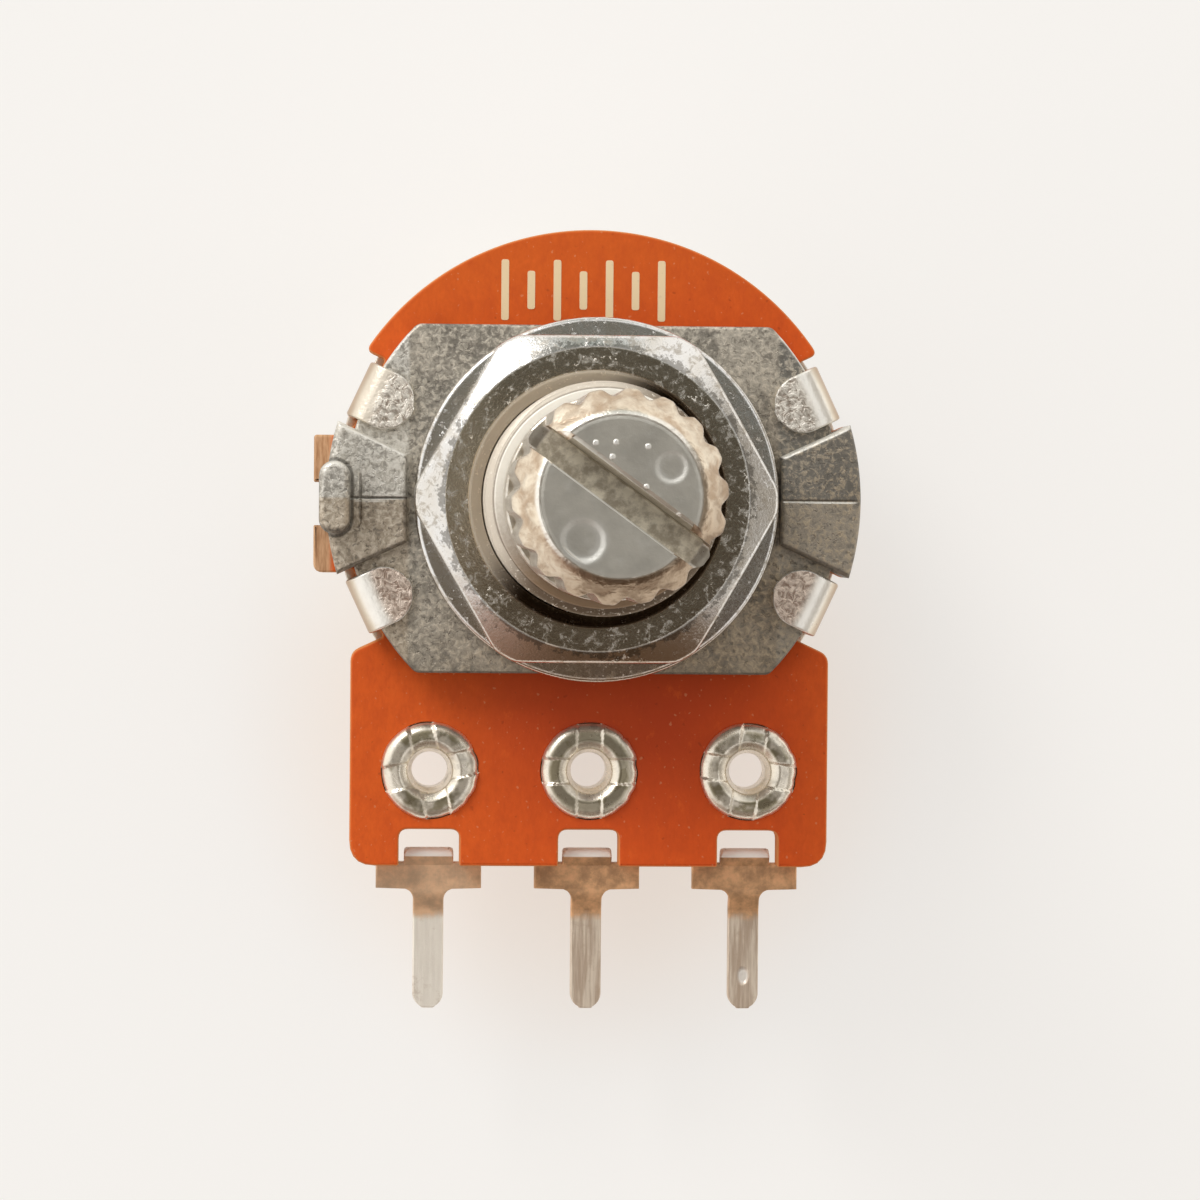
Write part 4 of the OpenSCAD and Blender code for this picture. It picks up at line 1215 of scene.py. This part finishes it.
class POT_OT_contacts(Operator):
    """Three stamped terminals with solder pins, and the eyelets that rivet them on"""
    bl_idname = "potentiometer.contacts"
    bl_label = "Terminals and eyelets"

    def execute(self, context):
        k, b = context.scene.pot_contacts, context.scene.pot_board
        pitch, row, sheet, shoulder_w, shoulder_h, pin_w, pin_low = sizes(
            k, "pitch eyelet_y sheet shoulder_w shoulder_h pin_w pin_low"
        )
        low_edge, notch_depth = sizes(b, "low notch_depth")
        (board_low, board_high), = spans("wafer")
        face = board_low - 0.05
        back, root, pin = face - sheet, low_edge + shoulder_h, pin_w / 2
        middle = (face + back) / 2
        half, leg, foot, crotch = 1.45, 1.0, -low_edge - 0.05, notch_depth - low_edge + 0.5
        round_r, joggle, tongue_half, lean = 0.3, 0.3, 0.78, math.radians(28)
        plate = np.vstack((
            arc(0, -row, half, 0, 180, 33),
            [[-half, foot], [-leg, foot], [-leg, crotch], [leg, crotch], [leg, foot], [half, foot]]
        ))
        y = np.concatenate((
            [low_edge, root - 0.002, root], root + round_r * np.linspace(0.02, 1, 8),
            np.linspace(root + 0.36, root + 0.95, 8), np.linspace(root + 1.1, pin_low - 0.5, 9),
            pin_low - pin + (pin - 0.05) * np.sin(np.linspace(0.04, 1, 15) * QUARTER)
        ))
        fillet = round_r - np.clip(y - root, 0, round_r)
        fillet = round_r - np.sqrt(np.clip(round_r ** 2 - fillet ** 2, 0, 1))
        tip = np.clip((y - pin_low + pin) / pin, 0, 1)
        width = np.where(y < root, shoulder_w / 2, pin + fillet) - pin * (1 - np.sqrt(1 - tip ** 2)) * 0.96
        path = np.stack((0 * y, -y, middle - joggle * ease((y - root + 0.05) / 0.85)), -1)
        tongue = [0, -low_edge, middle] + np.linspace(-0.08, 0.38, 5)[:, None] * np.array(
            [0, math.cos(lean), math.sin(lean)])
        tin = tinned_sheet(k.tinned, root, low_edge - 0.21)
        bright = bright_tin(k.bright)
        for name, x, turn, seed in (
            ("left", -pitch, 12, 3), ("centre", 0, 0, 5), ("right", pitch, -8, 8)
        ):
            shell = Shell().slab([plate, circle(BARREL, 48, 0, -row)[::-1]], back, face, 0.03, 0.03)
            shell.strip(path, (1, 0, 0), width, sheet / 2, 0.06, 0.05)
            shell.strip(tongue, (1, 0, 0), tongue_half, sheet / 2, 0.05, 0.17)
            shell.place(x=x).made("pin_" + name, "terminal_" + name, "housing", "terminal_tin", tin)
            eyelet_shell(k, turn, seed, board_high, back - 0.2).place(x=x, y=-row).made(
                "rivet_" + name, "eyelet_" + name, "housing", "eyelet_tin", bright)
        return {"FINISHED"}


class POT_OT_cover(Operator):
    """Drawn cover: a cup with one flat side, its stop tongue, and four folded tabs"""
    bl_idname = "potentiometer.cover"
    bl_label = "Cover"

    def execute(self, context):
        c = context.scene.pot_cover
        radius, flat, sheet, edge, tab_w, reach = sizes(c, "radius flat sheet edge tab_w tab_reach")
        (board_low, _), (low, _) = spans("wafer", "rear_cover")
        tinplate = drawn_tinplate(c.tinplate, radius)
        turn = math.degrees(math.asin(flat / radius))
        corner = math.sqrt(radius ** 2 - flat ** 2)
        clear, corner_r, low_wall, rim = 7, 1.0, 0.35, board_low - 0.04
        wall = arc(0, 0, radius, clear - turn, 180 + turn - clear, 121)
        wall = np.vstack((wall, [[-corner, -flat], [corner, -flat]]))
        wall = rounded(wall, corner_r * (wall[:, 1] == -flat), 9)
        gap = low_wall * ease((-wall[:, 1] - flat + 0.25) / 0.2)[:, None]
        q = np.linspace(0, QUARTER, 7)
        bend = np.stack((1 - np.sin(q), 1 - np.cos(q)), -1)
        rows = np.vstack((
            edge * bend + [0, low],
            [[0, rim], [0.03, board_low], [sheet - 0.03, board_low], [sheet, rim]],
            sheet + (edge - sheet) * bend[::-1] + [0, low]
        ))
        inset, height = rows.T[..., None, None]
        p = np.dstack((wall - mitre(wall) * inset, height - gap * (height > board_low - 0.1)))
        stop_half, start, end, stop_y = 1.2, -5.4, -2.2, -5.55
        window = rounded(
            [[-stop_half, start], [stop_half, start], [stop_half, end], [-stop_half, end]], 0.12
        )[::-1]
        hole = [np.column_stack((window, np.full(len(window), h))) for h in (low, low + sheet)]
        shell = Shell().grid(p, ends=((0, 0, -1), (0, 0, 1))).grid(np.stack(hole))
        shell.cap([p[0], hole[0]], (0, 0, -1)).cap([p[-1], hole[1]], (0, 0, 1))
        stop = [[0, stop_y, low + h] for h in (0.3, 1.0, 3.15)]
        shell.strip(stop, (1, 0, 0), stop_half, sheet / 2, 0.05, 0.04)
        shell.made("drawn_cover", "rear_cover", "housing", "cover_tinplate", tinplate)

        plate_face, across, down, out = -0.5, 0.62, 0.48, radius - sheet / 2
        middle = plate_face + sheet / 2 + 0.02
        a = np.linspace(0, QUARTER, 13)
        over = np.linspace(out - across, reach + 0.02, 22)
        x = np.concatenate((np.full(5, out), out - across + across * np.cos(a), over[1:]))
        z = np.concatenate((
            np.linspace(board_low - 0.25, middle - down, 6)[:-1], middle - down + down * np.sin(a),
            middle - 0.03 * ease((over[0] - over[1:]) / 0.5)
        ))
        back = np.clip((reach + tab_w / 2 - x) / (tab_w / 2), 0, 0.985)
        width = tab_w / 2 * np.where(z > middle - 0.1, np.sqrt(1 - back ** 2), 1)
        for name, side in (
            ("upper_right", TAB_TURN), ("upper_left", 180 - TAB_TURN),
            ("lower_left", 180 + TAB_TURN), ("lower_right", 360 - TAB_TURN)
        ):
            tab = Shell().strip(np.stack((x, 0 * x, z), -1), (0, 1, 0), width, sheet / 2, 0.07, 0.05)
            tab.place(turn=side).made(
                "tab_" + name, "rear_cover", "housing", "cover_tinplate", tinplate)
        return {"FINISHED"}


class POT_OT_inner(Operator):
    """Inner pieces, which keep the frame's own shape: each gets its finish"""
    bl_idname = "potentiometer.inner"
    bl_label = "Inner pieces"

    def execute(self, context):
        for node, look in INNER.items():
            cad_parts[node].data.materials.clear()
            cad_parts[node].data.materials.append(hidden(*look))
        return {"FINISHED"}


class POT_OT_stage(Operator):
    """Floor, soft light and camera"""
    bl_idname = "potentiometer.stage"
    bl_label = "Stage"

    def execute(self, context):
        s = context.scene.pot_stage
        (low, _), = spans("rear_cover")
        half, z = s.size / 2, (low - 0.01) / MM
        f = Finish("pale_floor")
        # Painted warm bounce light and shadow on the floor round the object, stronger on the side of the
        # pins.
        painted_bounce = f.reach(0, -6.5, stretch=(1 / 11.5, 1 / 12.5, 0)).window(1.08, 0.5)
        paper = f.mix(painted_bounce * f.part("Y").window(9, -9), s.floor, (0.935, 0.855, 0.78))
        seen = [Value(f, f.nodes.new("ShaderNodeLightPath").outputs[ray])
                for ray in ("Is Camera Ray", "Is Glossy Ray", "Is Transmission Ray")]
        glow = f.node("ShaderNodeEmission", None, paper, 1.0)
        f.join(f.out.inputs[0], f.node(
            "ShaderNodeMixShader", None, (seen[0] + seen[1] + seen[2]) * 0.65, f.shader.outputs[0], glow
        ))
        mesh = bpy.data.meshes.new("floor")
        mesh.from_pydata([(-half, -half, z), (half, -half, z), (half, half, z), (-half, half, z)],
                         [], [(0, 1, 2, 3)])
        mesh.materials.append(f.done(base_color=paper, roughness=0.9, specular_ior_level=0.1))
        ground = linked("floor", mesh)

        context.scene.world = bpy.data.worlds.new("studio")
        sky = Net(context.scene.world, "Generated", 1.0)
        x, y, z = (sky.part(axis) for axis in "XYZ")
        low_side = sky.mix(x.window(-0.1, -0.6), (0.14, 0.09, 0.055), (0.40, 0.26, 0.20))
        north = y.window(0.55, 0.80) * abs(x).window(0.34, 0.12)
        east = x.window(0.50, 0.75) * abs(y - 0.08).window(0.66, 0.40)
        raised = z.window(0.2, 0.4)
        tone = sky.coats(
            sky.mix(z.window(0.1, 0.7), (1.20, 1.15, 1.08), (1.08, 1.07, 1.06)),
            (y.window(-0.36, -0.72) * z.window(0.02, 0.22), low_side),
            (north * raised, (0.40, 0.43, 0.40)), (east * raised * 0.9, (0.24, 0.205, 0.16)),
            (z.window(0.86, 0.985), sky.coats(
                sky.mix(y.window(-0.05, 0.07), (0.060, 0.030, 0.014), (0.17, 0.18, 0.16)),
                (x.window(0.09, 0.0) * 0.5, (0.24, 0.20, 0.145))
            ))
        )
        back = sky.node("ShaderNodeBackground", None, tone, 1.0)
        sky.join(sky.nodes.new("ShaderNodeOutputWorld").inputs[0], back)

        for name, place, size, power in (
            ("key", (-0.20, 0.26, 0.24), 0.16, 0.55), ("fill", (0.33, 0.02, 0.09), 0.12, 0.12)
        ):
            lamp = bpy.data.lights.new(name, "AREA")
            lamp.shape, lamp.size, lamp.energy = "DISK", size, power
            holder = linked(name, lamp)
            holder.location = place
            holder.visible_glossy = name == "key"
            holder.rotation_euler = (-Vector(place)).to_track_quat("-Z", "Y").to_euler()

        view = bpy.data.cameras.new("camera")
        view.sensor_width, view.lens = 36.0, 129.13
        view.clip_start, view.clip_end = 0.01, 5.0
        place = Vector((-6.605, -0.779, 132.698)) / MM
        lean = Vector((1.011, 2.929, -0.436))  # axis of its turn, with a length in degrees
        turn = Matrix.Rotation(math.radians(lean.length), 3, lean.normalized()).transposed()
        context.scene.camera = linked("camera", view)
        context.scene.camera.matrix_world = Matrix.Translation(place) @ turn.to_4x4()
        context.scene.view_settings.view_transform = "Standard"
        return {"FINISHED"}


STEPS = (POT_OT_casting, POT_OT_fasteners, POT_OT_shaft, POT_OT_board, POT_OT_contacts,
         POT_OT_cover, POT_OT_inner, POT_OT_stage)
GROUPS = {
    "pot_casting": CastingSettings, "pot_fasteners": FastenerSettings, "pot_shaft": ShaftSettings,
    "pot_board": BoardSettings, "pot_contacts": ContactSettings, "pot_cover": CoverSettings,
    "pot_stage": StageSettings,
}


class POT_PT_steps(Panel):
    """Lists the steps and their sizes"""
    bl_idname = "POT_PT_steps"
    bl_label = "Potentiometer"
    bl_space_type = "VIEW_3D"
    bl_region_type = "UI"
    bl_category = "Potentiometer"

    def draw(self, context):
        for step in STEPS:
            self.layout.operator(step.bl_idname)
        for name, group in GROUPS.items():
            box = self.layout.box()
            for field in group.__annotations__:
                box.prop(getattr(context.scene, name), field)


def register():
    for group in GROUPS.values():
        bpy.utils.register_class(group)
    for name, group in GROUPS.items():
        setattr(bpy.types.Scene, name, PointerProperty(type=group))
    for step in (*STEPS, POT_PT_steps):
        bpy.utils.register_class(step)


def unregister():
    for step in (POT_PT_steps, *STEPS):
        bpy.utils.unregister_class(step)
    for name, group in GROUPS.items():
        delattr(bpy.types.Scene, name)
        bpy.utils.unregister_class(group)


def main():
    """Registers the classes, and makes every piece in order."""
    register()
    for step in STEPS:
        family, name = step.bl_idname.split(".")
        getattr(getattr(bpy.ops, family), name)()


if __name__ == "__main__":
    main()
